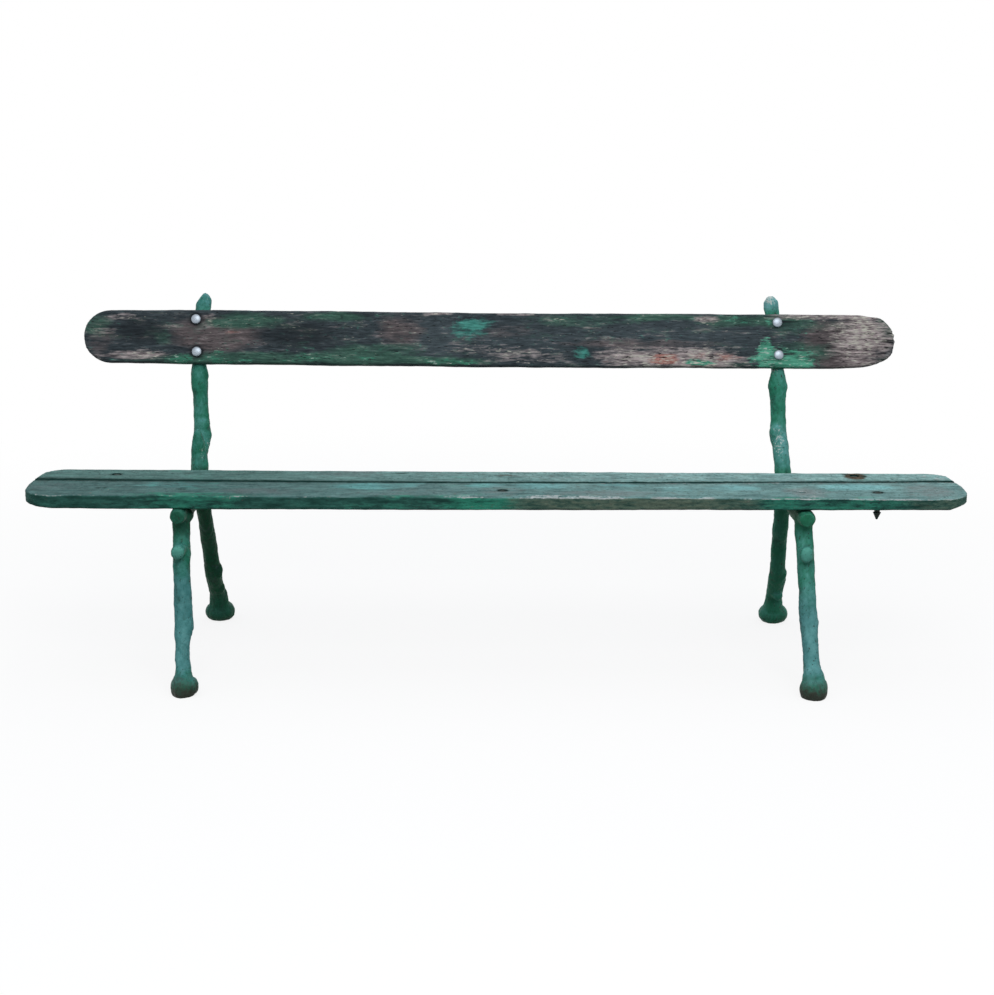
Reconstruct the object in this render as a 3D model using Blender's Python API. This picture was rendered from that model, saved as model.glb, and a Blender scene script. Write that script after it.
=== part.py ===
"""Park bench: three painted planks bolted to two cast-iron side frames shaped like tree branches.

Metres, +Z up. The front of the bench faces -Y and its length runs along X.
The origin lies on the ground, in the middle of the bench's length and depth.
"""

import math

import bmesh
import bpy
from mathutils import Matrix, Vector

# Seat planks
SEAT_HEIGHT = 0.422
SEAT_THICKNESS = 0.031
SEAT_LENGTH = 2.090
FRONT_PLANK_WIDTH = 0.156
REAR_PLANK_WIDTH = 0.100
REAR_PLANK_EXTRA = 0.004
PLANK_GAP = 0.008
FRONT_CORNER_RADIUS = 0.070
REAR_CORNER_RADIUS = 0.050
INNER_CORNER_RADIUS = 0.014
EDGE_ROUND = 0.006

# Backrest plank: its place is that of the middle of its back face, behind the seat and above it
BACKREST_LENGTH = 1.925
BACKREST_WIDTH = 0.129
BACKREST_THICKNESS = 0.025
BACKREST_LEAN = math.radians(17.5)
BACKREST_RISE = 0.283
BACKREST_SETBACK = 0.162
BACKREST_SHIFT = -0.0175
BACKREST_END_FLAT = 0.008
LEFT_END_RUN = 0.062
RIGHT_END_UPPER_RUN = 0.066
RIGHT_END_LOWER_RUN = 0.105

# Side frames: each is one casting of a front leg, a seat bearer and a rear branch
FRAME_SPACING = 1.380
FRAME_SHIFT = -0.012
SIDE_SWAY = math.radians(2.23)
LEG_RADIUS = 0.0195
FRONT_LEG_SETBACK = 0.034
FRONT_SPLAY = 0.135
REAR_SPLAY = 0.146
FRONT_FOOT_RADIUS = 0.0305
REAR_FOOT_RADIUS = 0.0355
FOOT_HEIGHT = 0.062
SOLE_ROUND = 0.008
BEARER_AXIS_DROP = 0.016
BEARER_RADIUS = 0.0195
BEARER_SAG = 0.005
BEARER_CROTCH_RADIUS = 0.0220
BEARER_CROTCH_RUN = 0.050
BEARER_TO_WASHER = 0.0145
NOSE_REACH = 0.012
NOSE_RADIUS = 0.0168
SAW_CHAMFER = 0.002
UPRIGHT_GAP = 0.035
KNEE_RADIUS = 0.0195
UPRIGHT_RADIUS = 0.018
PAD_TO_AXIS = 0.008
PAD_THICKNESS = 0.023
STUMP_RISE = 0.0465
STUMP_TIP_HEIGHT = 0.012
STUMP_TIP_RADIUS = 0.009
STUMP_BEND = 0.006
LEFT_STUMP_TILT = 0.015
RIGHT_STUMP_TILT = 0.008
BURIED_END_RADIUS = 0.0155
STUB_RADIUS = 0.0142
STUB_ROOT_RADIUS = 0.0156
STUB_REACH = 0.038
STUB_DROP = 0.077
STUB_TILT = math.radians(8.0)

# Branch shapes, from the ground up: share of the rise, share of the run to the back, girth
# as a share of the leg's or the upright's radius
FRONT_LEG_SHAPE = (
    (0.14, 0.12, 1.05),
    (0.27, 0.30, 0.965),
    (0.40, 0.53, 1.04),
    (0.62, 0.68, 0.975),
    (0.74, 0.78, 1.04),
    (0.87, 0.97, 0.99),
    (0.95, 1.00, 1.025),
)
REAR_LEG_SHAPE = (
    (0.15, 0.09, 1.10),
    (0.22, 0.18, 1.025),
    (0.36, 0.44, 1.05),
    (0.48, 0.53, 0.94),
    (0.60, 0.62, 0.975),
    (0.77, 0.84, 0.945),
)
UPRIGHT_SHAPE = (
    (0.14, 0.06, 1.08),
    (0.25, 0.22, 1.045),
    (0.40, 0.62, 1.14),
    (0.54, 0.80, 1.00),
    (0.68, 0.86, 1.01),
    (0.85, 0.93, 1.145),
)

# Knots, and hollows with a minus sign: height as a share of the seat's, direction round the
# branch in degrees from +X towards the back, and size as a share of KNOT_BUMP
LEFT_LEG_KNOTS = ((0.325, 0, 1.1), (0.360, 180, -0.6))
RIGHT_LEG_KNOTS = ((0.336, 0, 0.6), (0.564, 180, 0.5))
LEFT_REAR_KNOTS = ((0.336, 0, 1.0), (0.156, 0, 1.0), (1.154, 0, 0.9))
RIGHT_REAR_KNOTS = (
    (0.280, 0, 1.25),
    (0.107, 270, 1.5),
    (1.154, 180, 0.9),
    (1.429, 0, 1.25),
    (1.429, 180, 0.9),
    (1.528, 0, -0.9),
    (1.528, 180, -1.1),
)
KNOT_BUMP = 0.004
KNOT_SPREAD = 0.013

# Fasteners
BOLT_DIAMETER = 0.010
BOLT_HEAD_DIAMETER = 0.0245
BOLT_HEAD_HEIGHT = 0.0054
HEAD_RIM = 0.0012
SEAT_HEAD_DIAMETER = 0.020
SEAT_HEAD_HEIGHT = 0.0042
SEAT_HEAD_SINK = 0.0015
WASHER_DIAMETER = 0.022
WASHER_THICKNESS = 0.002
NUT_ACROSS_FLATS = 0.016
NUT_HEIGHT = 0.008
THREAD_PAST_NUT = 0.004
THREAD_CHAMFER = 0.001
BACKREST_BOLT_UPPER_INSET = 0.0207
BACKREST_BOLT_LOWER_INSET = 0.0307
FRONT_SEAT_BOLT_SETBACK = 0.068
HOLE_CLEARANCE = 0.0005
HEAD_CLEARANCE = 0.001
CONTACT_GAP = 0.0003

# Flat iron straps that tie the two seat planks together from below
STRAP_WIDTH = 0.030
STRAP_THICKNESS = 0.005
STRAP_EDGE = 0.0006
STRAP_PAST_BOLT = 0.022
STRAP_CORNER_RADIUS = 0.008
STRAP_LEFT_INSET = 0.169
STRAP_MIDDLE_X = 0.012
STRAP_RIGHT_INSET = 0.196
RIGHT_STRAP_SLANT = -0.019
RIGHT_STRAP_STRETCH = 0.022
SCREW_DIAMETER = 0.0125
SCREW_PAST_STRAP = 0.026
SCREW_POINT_LENGTH = 0.021

# Facets, and how far a cutting shape runs past what it cuts
BRANCH_SIDES = 12
STATION_SPACING = 0.017
ROUND_SIDES = 12
CORNER_STEPS = 6
DOME_STEPS = 3
EDGE_STEPS = 2
MERGE_DISTANCE = 1e-6
CUT_MARGIN = 0.010
CUT_REACH = 0.080

# Sizes that follow from the ones above
SEAT_UNDERSIDE = SEAT_HEIGHT - SEAT_THICKNESS
SEAT_DEPTH = FRONT_PLANK_WIDTH + PLANK_GAP + REAR_PLANK_WIDTH
BEARER_Z = SEAT_UNDERSIDE - BEARER_AXIS_DROP
BEARER_PAD_THICKNESS = BEARER_AXIS_DROP + BEARER_TO_WASHER
TOE_TO_SEAT = FRONT_SPLAY + FRONT_FOOT_RADIUS - FRONT_LEG_SETBACK
SEAT_TO_HEEL = SEAT_DEPTH + UPRIGHT_GAP + KNEE_RADIUS + REAR_SPLAY + REAR_FOOT_RADIUS
SEAT_FRONT_Y = (TOE_TO_SEAT - SEAT_TO_HEEL) / 2
SEAT_BACK_Y = SEAT_FRONT_Y + SEAT_DEPTH
FRONT_PLANK_Y = SEAT_FRONT_Y + FRONT_PLANK_WIDTH / 2
REAR_PLANK_Y = SEAT_BACK_Y - REAR_PLANK_WIDTH / 2
FRONT_LEG_Y = SEAT_FRONT_Y + FRONT_LEG_SETBACK
FRONT_FOOT_Y = FRONT_LEG_Y - FRONT_SPLAY
KNEE_Y = SEAT_BACK_Y + UPRIGHT_GAP + KNEE_RADIUS
REAR_FOOT_Y = KNEE_Y + REAR_SPLAY
FRONT_BOLT_Y = SEAT_FRONT_Y + FRONT_SEAT_BOLT_SETBACK
FRAME_XS = {"left": FRAME_SHIFT - FRAME_SPACING / 2, "right": FRAME_SHIFT + FRAME_SPACING / 2}
STRAP_XS = {
    "left": STRAP_LEFT_INSET - SEAT_LENGTH / 2,
    "middle": STRAP_MIDDLE_X,
    "right": SEAT_LENGTH / 2 - STRAP_RIGHT_INSET,
}
BACKREST_UP = Vector((0, math.sin(BACKREST_LEAN), math.cos(BACKREST_LEAN)))
BACKREST_FRONT = Vector((0, -math.cos(BACKREST_LEAN), math.sin(BACKREST_LEAN)))
BACKREST_BACK_MIDDLE = Vector((BACKREST_SHIFT, SEAT_BACK_Y + BACKREST_SETBACK, SEAT_HEIGHT + BACKREST_RISE))
BACKREST_TURN = (math.pi / 2 - BACKREST_LEAN, 0, 0)
BACKREST_TILT = Matrix.Rotation(BACKREST_TURN[0], 4, "X")
LEVEL = (0, 0, 0)
HOLE_RADIUS = BOLT_DIAMETER / 2 + HOLE_CLEARANCE
SEAT_HOLE_RADIUS = max(BOLT_DIAMETER, SCREW_DIAMETER) / 2 + HOLE_CLEARANCE
SEAT_HEAD_SHOULDER = SEAT_THICKNESS - SEAT_HEAD_SINK - SEAT_HEAD_HEIGHT


def start_empty_scene():
    """Removes what is in the scene and returns the empty that all pieces hang from."""
    for obj in list(bpy.data.objects):
        bpy.data.objects.remove(obj)
    root = bpy.data.objects.new("bench_origin", None)
    bpy.context.scene.collection.objects.link(root)
    return root


def make_material(name, colour, roughness, metallic):
    material = bpy.data.materials.new(name)
    material.use_nodes = True
    shader = material.node_tree.nodes["Principled BSDF"]
    shader.inputs["Base Color"].default_value = (*colour, 1)
    shader.inputs["Roughness"].default_value = roughness
    shader.inputs["Metallic"].default_value = metallic
    return material


def add_piece(name, mesh, material, root, location=(0, 0, 0), turn=LEVEL):
    """Puts a mesh into the scene as one named piece of the bench."""
    if not mesh.materials:
        mesh.materials.append(material)
    piece = bpy.data.objects.new(name, mesh)
    piece.location = location
    piece.rotation_euler = turn
    piece.parent = root
    bpy.context.scene.collection.objects.link(piece)
    return piece


def combine(piece, name, mesh, operation):
    """Joins a shape to a piece, or cuts it out; the shape itself is no piece of the bench."""
    helper = bpy.data.objects.new(name, mesh)
    helper.hide_render = True
    helper.display_type = "WIRE"
    bpy.context.scene.collection.objects.link(helper)
    modifier = piece.modifiers.new(name, "BOOLEAN")
    modifier.operation = operation
    modifier.object = helper


def mesh_from(name, bm, smooth_angle=math.radians(40)):
    """Turns a bmesh into a mesh with outward faces, shaded smooth up to an angle."""
    bmesh.ops.recalc_face_normals(bm, faces=bm.faces)
    mesh = bpy.data.meshes.new(name)
    bm.to_mesh(mesh)
    bm.free()
    mesh.shade_smooth()
    mesh.set_sharp_from_angle(angle=smooth_angle)
    return mesh


def add_turned(bm, profile, matrix):
    """Spins a profile of (radius, height) points round the local Z axis, then places it."""
    before = set(bm.verts)
    points = [bm.verts.new((radius, 0, height)) for radius, height in profile]
    edges = [bm.edges.new(pair) for pair in zip(points, points[1:])]
    bmesh.ops.spin(bm, geom=points + edges, cent=(0, 0, 0), axis=(0, 0, 1), angle=2 * math.pi,
                   steps=ROUND_SIDES, use_merge=True)
    made = [vert for vert in bm.verts if vert not in before]
    bmesh.ops.remove_doubles(bm, verts=made, dist=MERGE_DISTANCE)
    made = [vert for vert in bm.verts if vert not in before]
    bmesh.ops.transform(bm, matrix=matrix, verts=made)


def turned_mesh(name, profile):
    bm = bmesh.new()
    add_turned(bm, profile, Matrix.Identity(4))
    return mesh_from(name, bm)


def add_box(bm, size, matrix):
    bmesh.ops.create_cube(bm, size=1, matrix=matrix @ Matrix.Diagonal((*size, 1)))


def rounded_outline(length, width, corners):
    """A rectangle round its middle; each corner has its own quarter ellipse (run along X, run along Y)."""
    points = []
    for index, (along, across) in enumerate(((1, -1), (1, 1), (-1, 1), (-1, -1))):
        run_x, run_y = corners[index]
        for step in range(CORNER_STEPS + 1):
            angle = (index - 1 + step / CORNER_STEPS) * math.pi / 2
            points.append((along * (length / 2 - run_x) + run_x * math.cos(angle),
                           across * (width / 2 - run_y) + run_y * math.sin(angle), 0))
    return points


def plank_mesh(name, outline, thickness, edge_round):
    """A plank of that outline, from local height 0 up, with its rims rounded over."""
    bm = bmesh.new()
    face = bm.faces.new([bm.verts.new(point) for point in outline])
    raised = bmesh.ops.extrude_face_region(bm, geom=[face])["geom"]
    top = [item for item in raised if isinstance(item, bmesh.types.BMVert)]
    bmesh.ops.translate(bm, verts=top, vec=(0, 0, thickness))
    bmesh.ops.recalc_face_normals(bm, faces=bm.faces)
    rims = [edge for edge in bm.edges if edge.verts[0].co.z == edge.verts[1].co.z]
    bmesh.ops.bevel(bm, geom=rims, offset=edge_round, segments=EDGE_STEPS, profile=0.5, affect="EDGES")
    return mesh_from(name, bm)


def frame_x(side, height):
    """Where a frame's middle plane lies at a height: both frames sway a little to one side."""
    return FRAME_XS[side] + math.tan(SIDE_SWAY) * (SEAT_HEIGHT - height)


def backrest_point(up, behind):
    """A point up the backrest's back face from its middle, and behind that face."""
    return BACKREST_BACK_MIDDLE + up * BACKREST_UP - behind * BACKREST_FRONT


def smooth_path(points):
    """Points about STATION_SPACING apart on a Catmull-Rom curve through (x, y, z, radius) points."""
    padded = [2 * points[0] - points[1], *points, 2 * points[-1] - points[-2]]
    path = []
    for before, start, end, after in zip(padded, padded[1:], padded[2:], padded[3:]):
        slope = (end - before) / 2
        bend = before - 2.5 * start + 2 * end - after / 2
        twist = (3 * (start - end) + after - before) / 2
        steps = max(1, round((end - start).xyz.length / STATION_SPACING))
        for step in range(steps):
            t = step / steps
            path.append(start + t * (slope + t * (bend + t * twist)))
    return [*path, points[-1]]


def swelling(height, angle, knots):
    """How far the knots push a branch's surface out at a height and a direction round it."""
    total = 0.0
    for level, direction, size in knots:
        facing = max(0.0, math.cos(angle - math.radians(direction)))
        nearness = math.exp(-((height - level * SEAT_HEIGHT) / KNOT_SPREAD) ** 2)
        total += size * KNOT_BUMP * nearness * facing ** 3
    return total


def branch_mesh(name, path, knots=(), level_rings=0):
    """Skins round rings along a path of (x, y, z, radius); the first rings can lie level, for a sole."""
    bm = bmesh.new()
    rings = []
    for index, station in enumerate(path):
        before = path[max(index - 1, 0)]
        after = path[min(index + 1, len(path) - 1)]
        along = (after - before).xyz.normalized()
        if index < level_rings:
            along = Vector((0, 0, 1))
        across = (Vector((1, 0, 0)) - along * along.x).normalized()
        outward = along.cross(across)
        ring = []
        for side in range(BRANCH_SIDES):
            angle = side / BRANCH_SIDES * 2 * math.pi
            radius = station.w + swelling(station.z, angle, knots)
            spoke = math.cos(angle) * across + math.sin(angle) * outward
            ring.append(bm.verts.new(station.xyz + radius * spoke))
        rings.append(ring)
    for lower, upper in zip(rings, rings[1:]):
        for side in range(BRANCH_SIDES):
            after = (side + 1) % BRANCH_SIDES
            bm.faces.new((lower[side], lower[after], upper[after], upper[side]))
    bm.faces.new(rings[0])
    bm.faces.new(rings[-1])
    return mesh_from(name, bm, smooth_angle=math.radians(60))


def shaped_points(side, start, end, shape, radius):
    """Points of a branch between two (depth, height) ends, from its shape's shares."""
    points = []
    for rise, run, girth in shape:
        depth = start[0] + run * (end[0] - start[0])
        height = start[1] + rise * (end[1] - start[1])
        points.append(Vector((frame_x(side, height), depth, height, girth * radius)))
    return points


def standing_path(side, foot_y, foot_radius, points):
    """The smooth path of a branch that stands on a flared foot with a level sole."""
    ankle = points[0].w
    rim = Vector((frame_x(side, SOLE_ROUND), foot_y, SOLE_ROUND, ankle))
    path = smooth_path([rim, *points])
    for station in path:
        share = (FOOT_HEIGHT - station.z) / (FOOT_HEIGHT - SOLE_ROUND)
        station.w += max(0.0, share) ** 2 * (foot_radius - ankle)
    sole = Vector((frame_x(side, 0), foot_y, 0, foot_radius - SOLE_ROUND))
    return [sole, *path]


def front_leg_path(side):
    legs = shaped_points(side, (FRONT_FOOT_Y, 0), (FRONT_LEG_Y, BEARER_Z), FRONT_LEG_SHAPE, LEG_RADIUS)
    head = Vector((frame_x(side, BEARER_Z), FRONT_LEG_Y, BEARER_Z, BURIED_END_RADIUS))
    return standing_path(side, FRONT_FOOT_Y, FRONT_FOOT_RADIUS, [*legs, head])


def rear_branch_path(side, stump_tilt):
    """The rear leg, the knee behind the seat and the upright, which ends in a stump above the backrest."""
    half = BACKREST_WIDTH / 2
    stations = (
        (-half, PAD_TO_AXIS, UPRIGHT_RADIUS),
        (0, PAD_TO_AXIS, UPRIGHT_RADIUS),
        (half, PAD_TO_AXIS, UPRIGHT_RADIUS),
        (half + STUMP_RISE - STUMP_TIP_HEIGHT, PAD_TO_AXIS + STUMP_BEND / 2, UPRIGHT_RADIUS),
        (half + STUMP_RISE, PAD_TO_AXIS + STUMP_BEND, STUMP_TIP_RADIUS),
    )
    upper = []
    for up, behind, radius in stations:
        point = backrest_point(up, behind)
        lean_in = stump_tilt * (up + half) / (BACKREST_WIDTH + STUMP_RISE)
        upper.append(Vector((frame_x(side, point.z) + lean_in, point.y, point.z, radius)))
    legs = shaped_points(side, (REAR_FOOT_Y, 0), (KNEE_Y, BEARER_Z), REAR_LEG_SHAPE, LEG_RADIUS)
    knee = Vector((frame_x(side, BEARER_Z), KNEE_Y, BEARER_Z, KNEE_RADIUS))
    pad_foot = (upper[0].y, upper[0].z)
    upright = shaped_points(side, (KNEE_Y, BEARER_Z), pad_foot, UPRIGHT_SHAPE, UPRIGHT_RADIUS)
    return standing_path(side, REAR_FOOT_Y, REAR_FOOT_RADIUS, [*legs, knee, *upright, *upper])


def bearer_path(side):
    """The level branch that carries the seat, from its sawn nose in front to inside the knee."""
    nose_y = SEAT_FRONT_Y - NOSE_REACH
    stations = (
        (nose_y + SAW_CHAMFER, BEARER_Z, NOSE_RADIUS),
        (FRONT_LEG_Y, BEARER_Z, BEARER_RADIUS),
        (FRONT_LEG_Y + BEARER_CROTCH_RUN, BEARER_Z - BEARER_SAG, BEARER_CROTCH_RADIUS),
        (KNEE_Y - BEARER_CROTCH_RUN, BEARER_Z, BEARER_RADIUS),
        (KNEE_Y, BEARER_Z, BURIED_END_RADIUS),
    )
    x = frame_x(side, BEARER_Z)
    face = Vector((x, nose_y, BEARER_Z, NOSE_RADIUS - SAW_CHAMFER))
    return [face, *smooth_path([Vector((x, *station)) for station in stations])]


def stub_mesh(side):
    """A sawn-off side shoot on the front of the front leg, below the bearer's nose."""
    height = BEARER_Z - STUB_DROP
    leg = min(front_leg_path(side), key=lambda point: abs(point.z - height))
    profile = ((0, STUB_REACH), (STUB_RADIUS - SAW_CHAMFER, STUB_REACH),
               (STUB_RADIUS, STUB_REACH - SAW_CHAMFER), (STUB_ROOT_RADIUS, 0), (0, 0))
    bm = bmesh.new()
    turn = Matrix.Rotation(math.pi / 2 - STUB_TILT, 4, "X")
    add_turned(bm, profile, Matrix.Translation((frame_x(side, height), leg.y, height)) @ turn)
    return mesh_from(f"stub_{side}", bm)


def backrest_bolt_points(side):
    """Where a frame's two backrest bolts come out of the backrest's back face."""
    heights = {
        "upper": BACKREST_WIDTH / 2 - BACKREST_BOLT_UPPER_INSET,
        "lower": BACKREST_BOLT_LOWER_INSET - BACKREST_WIDTH / 2,
    }
    points = {}
    for level, up in heights.items():
        point = backrest_point(up, 0)
        points[level] = Vector((frame_x(side, point.z), point.y, point.z))
    return points


def frame_bolt_points(side):
    """Where the seat bolts of a frame come out of the planks' undersides."""
    x = frame_x(side, SEAT_UNDERSIDE)
    rows = {"front": FRONT_BOLT_Y, "rear": REAR_PLANK_Y}
    return {row: Vector((x, y, SEAT_UNDERSIDE)) for row, y in rows.items()}


def strap_bolt_points(place):
    """Where a strap's two fasteners come out of the planks' undersides; the right strap sits askew."""
    x = STRAP_XS[place]
    front = Vector((x, FRONT_BOLT_Y, SEAT_UNDERSIDE))
    rear = Vector((x, REAR_PLANK_Y, SEAT_UNDERSIDE))
    if place == "right":
        rear += Vector((RIGHT_STRAP_SLANT, RIGHT_STRAP_STRETCH, 0))
    return {"front": front, "rear": rear}


def frame_notches(side):
    """The seats cut for the planks: the flat top of the bearer and the pad on the upright."""
    bm = bmesh.new()
    front = SEAT_FRONT_Y - NOSE_REACH - CUT_MARGIN
    back = SEAT_BACK_Y + CONTACT_GAP
    low = SEAT_UNDERSIDE - CONTACT_GAP
    high = SEAT_HEIGHT + CUT_MARGIN
    middle = Vector((frame_x(side, BEARER_Z), (front + back) / 2, (low + high) / 2))
    add_box(bm, (CUT_REACH, back - front, high - low), Matrix.Translation(middle))
    depth = BACKREST_THICKNESS + CUT_MARGIN
    middle = BACKREST_BACK_MIDDLE + (depth / 2 - CONTACT_GAP) * BACKREST_FRONT
    middle.x = frame_x(side, middle.z)
    size = (CUT_REACH, BACKREST_WIDTH + 2 * CONTACT_GAP, depth)
    add_box(bm, size, Matrix.Translation(middle) @ BACKREST_TILT)
    return mesh_from(f"frame_notches_{side}", bm)


def frame_holes(side):
    """Each bolt's hole and, where it leaves the iron, the flat that its washer bears on."""
    bm = bmesh.new()
    face_radius = WASHER_DIAMETER / 2 + HEAD_CLEARANCE
    places = [(point, PAD_THICKNESS, BACKREST_TILT) for point in backrest_bolt_points(side).values()]
    for point in frame_bolt_points(side).values():
        places.append((point, BEARER_PAD_THICKNESS, Matrix.Identity(4)))
    for point, through, tilt in places:
        deep = through + CUT_REACH
        profile = ((0, CUT_MARGIN), (HOLE_RADIUS, CUT_MARGIN), (HOLE_RADIUS, -through),
                   (face_radius, -through), (face_radius, -deep), (0, -deep))
        add_turned(bm, profile, Matrix.Translation(point) @ tilt)
    return mesh_from(f"frame_holes_{side}", bm)


def add_side_frame(side, stump_tilt, leg_knots, rear_knots, iron, root):
    name = f"side_frame_{side}"
    rear_branch = branch_mesh(name, rear_branch_path(side, stump_tilt), rear_knots, level_rings=2)
    frame = add_piece(name, rear_branch, iron, root)
    front_leg = branch_mesh(f"front_leg_{side}", front_leg_path(side), leg_knots, level_rings=2)
    combine(frame, f"front_leg_{side}", front_leg, "UNION")
    combine(frame, f"bearer_{side}", branch_mesh(f"bearer_{side}", bearer_path(side)), "UNION")
    combine(frame, f"stub_{side}", stub_mesh(side), "UNION")
    combine(frame, f"frame_notches_{side}", frame_notches(side), "DIFFERENCE")
    combine(frame, f"frame_holes_{side}", frame_holes(side), "DIFFERENCE")


def add_seat_plank(row, length, width, middle_y, corners, paint, root):
    """A seat plank with a hole for each fastener, widened at the top so that the head sinks in."""
    name = f"seat_plank_{row}"
    mesh = plank_mesh(name, rounded_outline(length, width, corners), SEAT_THICKNESS, EDGE_ROUND)
    plank = add_piece(name, mesh, paint, root, (0, middle_y, SEAT_UNDERSIDE))
    points = [frame_bolt_points(side)[row] for side in FRAME_XS]
    points += [strap_bolt_points(place)[row] for place in STRAP_XS]
    head_radius = SEAT_HEAD_DIAMETER / 2 + HEAD_CLEARANCE
    top = SEAT_THICKNESS + CUT_MARGIN
    profile = ((0, top), (head_radius, top), (head_radius, SEAT_HEAD_SHOULDER),
               (SEAT_HOLE_RADIUS, SEAT_HEAD_SHOULDER), (SEAT_HOLE_RADIUS, -CUT_MARGIN), (0, -CUT_MARGIN))
    bm = bmesh.new()
    for point in points:
        add_turned(bm, profile, Matrix.Translation(point))
    combine(plank, f"{name}_holes", mesh_from(f"{name}_holes", bm), "DIFFERENCE")


def add_backrest(paint, root):
    name = "backrest_plank"
    half_end = (BACKREST_WIDTH - BACKREST_END_FLAT) / 2
    runs = (RIGHT_END_LOWER_RUN, RIGHT_END_UPPER_RUN, LEFT_END_RUN, LEFT_END_RUN)
    outline = rounded_outline(BACKREST_LENGTH, BACKREST_WIDTH, [(run, half_end) for run in runs])
    mesh = plank_mesh(name, outline, BACKREST_THICKNESS, EDGE_ROUND)
    plank = add_piece(name, mesh, paint, root, BACKREST_BACK_MIDDLE, BACKREST_TURN)
    top = BACKREST_THICKNESS + CUT_MARGIN
    profile = ((0, top), (HOLE_RADIUS, top), (HOLE_RADIUS, -CUT_MARGIN), (0, -CUT_MARGIN))
    bm = bmesh.new()
    for side in FRAME_XS:
        for point in backrest_bolt_points(side).values():
            add_turned(bm, profile, Matrix.Translation(point) @ BACKREST_TILT)
    combine(plank, f"{name}_holes", mesh_from(f"{name}_holes", bm), "DIFFERENCE")


def add_strap(place, iron, root):
    name = f"tie_strap_{place}"
    ends = strap_bolt_points(place)
    across = ends["rear"] - ends["front"]
    corners = [(STRAP_CORNER_RADIUS, STRAP_CORNER_RADIUS)] * 4
    outline = rounded_outline(STRAP_WIDTH, across.length + 2 * STRAP_PAST_BOLT, corners)
    mesh = plank_mesh(name, outline, STRAP_THICKNESS, STRAP_EDGE)
    middle = (ends["front"] + ends["rear"]) / 2 - Vector((0, 0, CONTACT_GAP + STRAP_THICKNESS))
    strap = add_piece(name, mesh, iron, root, middle, (0, 0, math.atan2(-across.x, across.y)))
    low = -STRAP_THICKNESS - CUT_MARGIN
    profile = ((0, CUT_MARGIN), (SEAT_HOLE_RADIUS, CUT_MARGIN), (SEAT_HOLE_RADIUS, low), (0, low))
    bm = bmesh.new()
    for point in ends.values():
        add_turned(bm, profile, Matrix.Translation(point))
    combine(strap, f"{name}_holes", mesh_from(f"{name}_holes", bm), "DIFFERENCE")


def bolt_mesh(name, head_diameter, head_height, shank_diameter, length, point_length=0.0):
    """A dome-headed bolt or pointed screw, with its origin under the head and its shank down local Z."""
    head_radius = head_diameter / 2
    radius = shank_diameter / 2
    profile = [(0, head_height)]
    for step in range(1, DOME_STEPS):
        angle = step / DOME_STEPS * math.pi / 2
        height = HEAD_RIM + (head_height - HEAD_RIM) * math.cos(angle)
        profile.append((head_radius * math.sin(angle), height))
    profile += [(head_radius, HEAD_RIM), (head_radius, 0), (radius, 0)]
    if point_length:
        profile += [(radius, point_length - length), (0, -length)]
    else:
        profile += [(radius, THREAD_CHAMFER - length), (radius - THREAD_CHAMFER, -length), (0, -length)]
    return turned_mesh(name, profile)


def washer_mesh():
    outer = WASHER_DIAMETER / 2
    profile = ((HOLE_RADIUS, 0), (outer, 0), (outer, -WASHER_THICKNESS), (HOLE_RADIUS, -WASHER_THICKNESS),
               (HOLE_RADIUS, 0))
    return turned_mesh("washer", profile)


def nut_mesh():
    """A hexagon nut that hangs from local height 0; its round bore clears the bolt's thread."""
    bm = bmesh.new()
    flat = NUT_ACROSS_FLATS / 2
    corner = flat / math.cos(math.pi / 6)
    loops = []
    for height in (0, -NUT_HEIGHT):
        for radii in ((corner, flat), (HOLE_RADIUS, HOLE_RADIUS)):
            loop = []
            for index in range(ROUND_SIDES):
                angle = index / ROUND_SIDES * 2 * math.pi
                radius = radii[index % 2]
                loop.append(bm.verts.new((radius * math.cos(angle), radius * math.sin(angle), height)))
            loops.append(loop)
    top_outer, top_inner, low_outer, low_inner = loops
    ring = (top_outer, top_inner, low_inner, low_outer)
    for first, second in zip(ring, (*ring[1:], ring[0])):
        for index in range(ROUND_SIDES):
            after = (index + 1) % ROUND_SIDES
            bm.faces.new((first[index], first[after], second[after], second[index]))
    return mesh_from("nut", bm)


def bolt_length(grip, washers):
    """From under the head to the end of the thread that stands past the nut."""
    stack = washers * (WASHER_THICKNESS + CONTACT_GAP) + NUT_HEIGHT + 2 * CONTACT_GAP
    return grip + stack + THREAD_PAST_NUT


def add_bolt_set(name, bolt, washer, nut, seat, grip, turn, metal, root):
    """A bolt with its head on `seat`, and its washer and nut `grip` below, along the turned -Z."""
    down = Matrix.Rotation(turn[0], 3, "X") @ Vector((0, 0, -1))
    add_piece(f"{name}_bolt", bolt, metal, root, seat - CONTACT_GAP * down, turn)
    below = grip + CONTACT_GAP
    if washer:
        add_piece(f"{name}_washer", washer, metal, root, seat + below * down, turn)
        below += WASHER_THICKNESS + CONTACT_GAP
    add_piece(f"{name}_nut", nut, metal, root, seat + below * down, turn)


def add_backrest_bolts(zinc, root):
    grip = BACKREST_THICKNESS + PAD_THICKNESS
    length = bolt_length(grip, 1)
    bolt = bolt_mesh("backrest_bolt", BOLT_HEAD_DIAMETER, BOLT_HEAD_HEIGHT, BOLT_DIAMETER, length)
    washer = washer_mesh()
    nut = nut_mesh()
    for side in FRAME_XS:
        for level, point in backrest_bolt_points(side).items():
            seat = point + BACKREST_THICKNESS * BACKREST_FRONT
            name = f"backrest_{side}_{level}"
            add_bolt_set(name, bolt, washer, nut, seat, grip, BACKREST_TURN, zinc, root)


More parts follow.
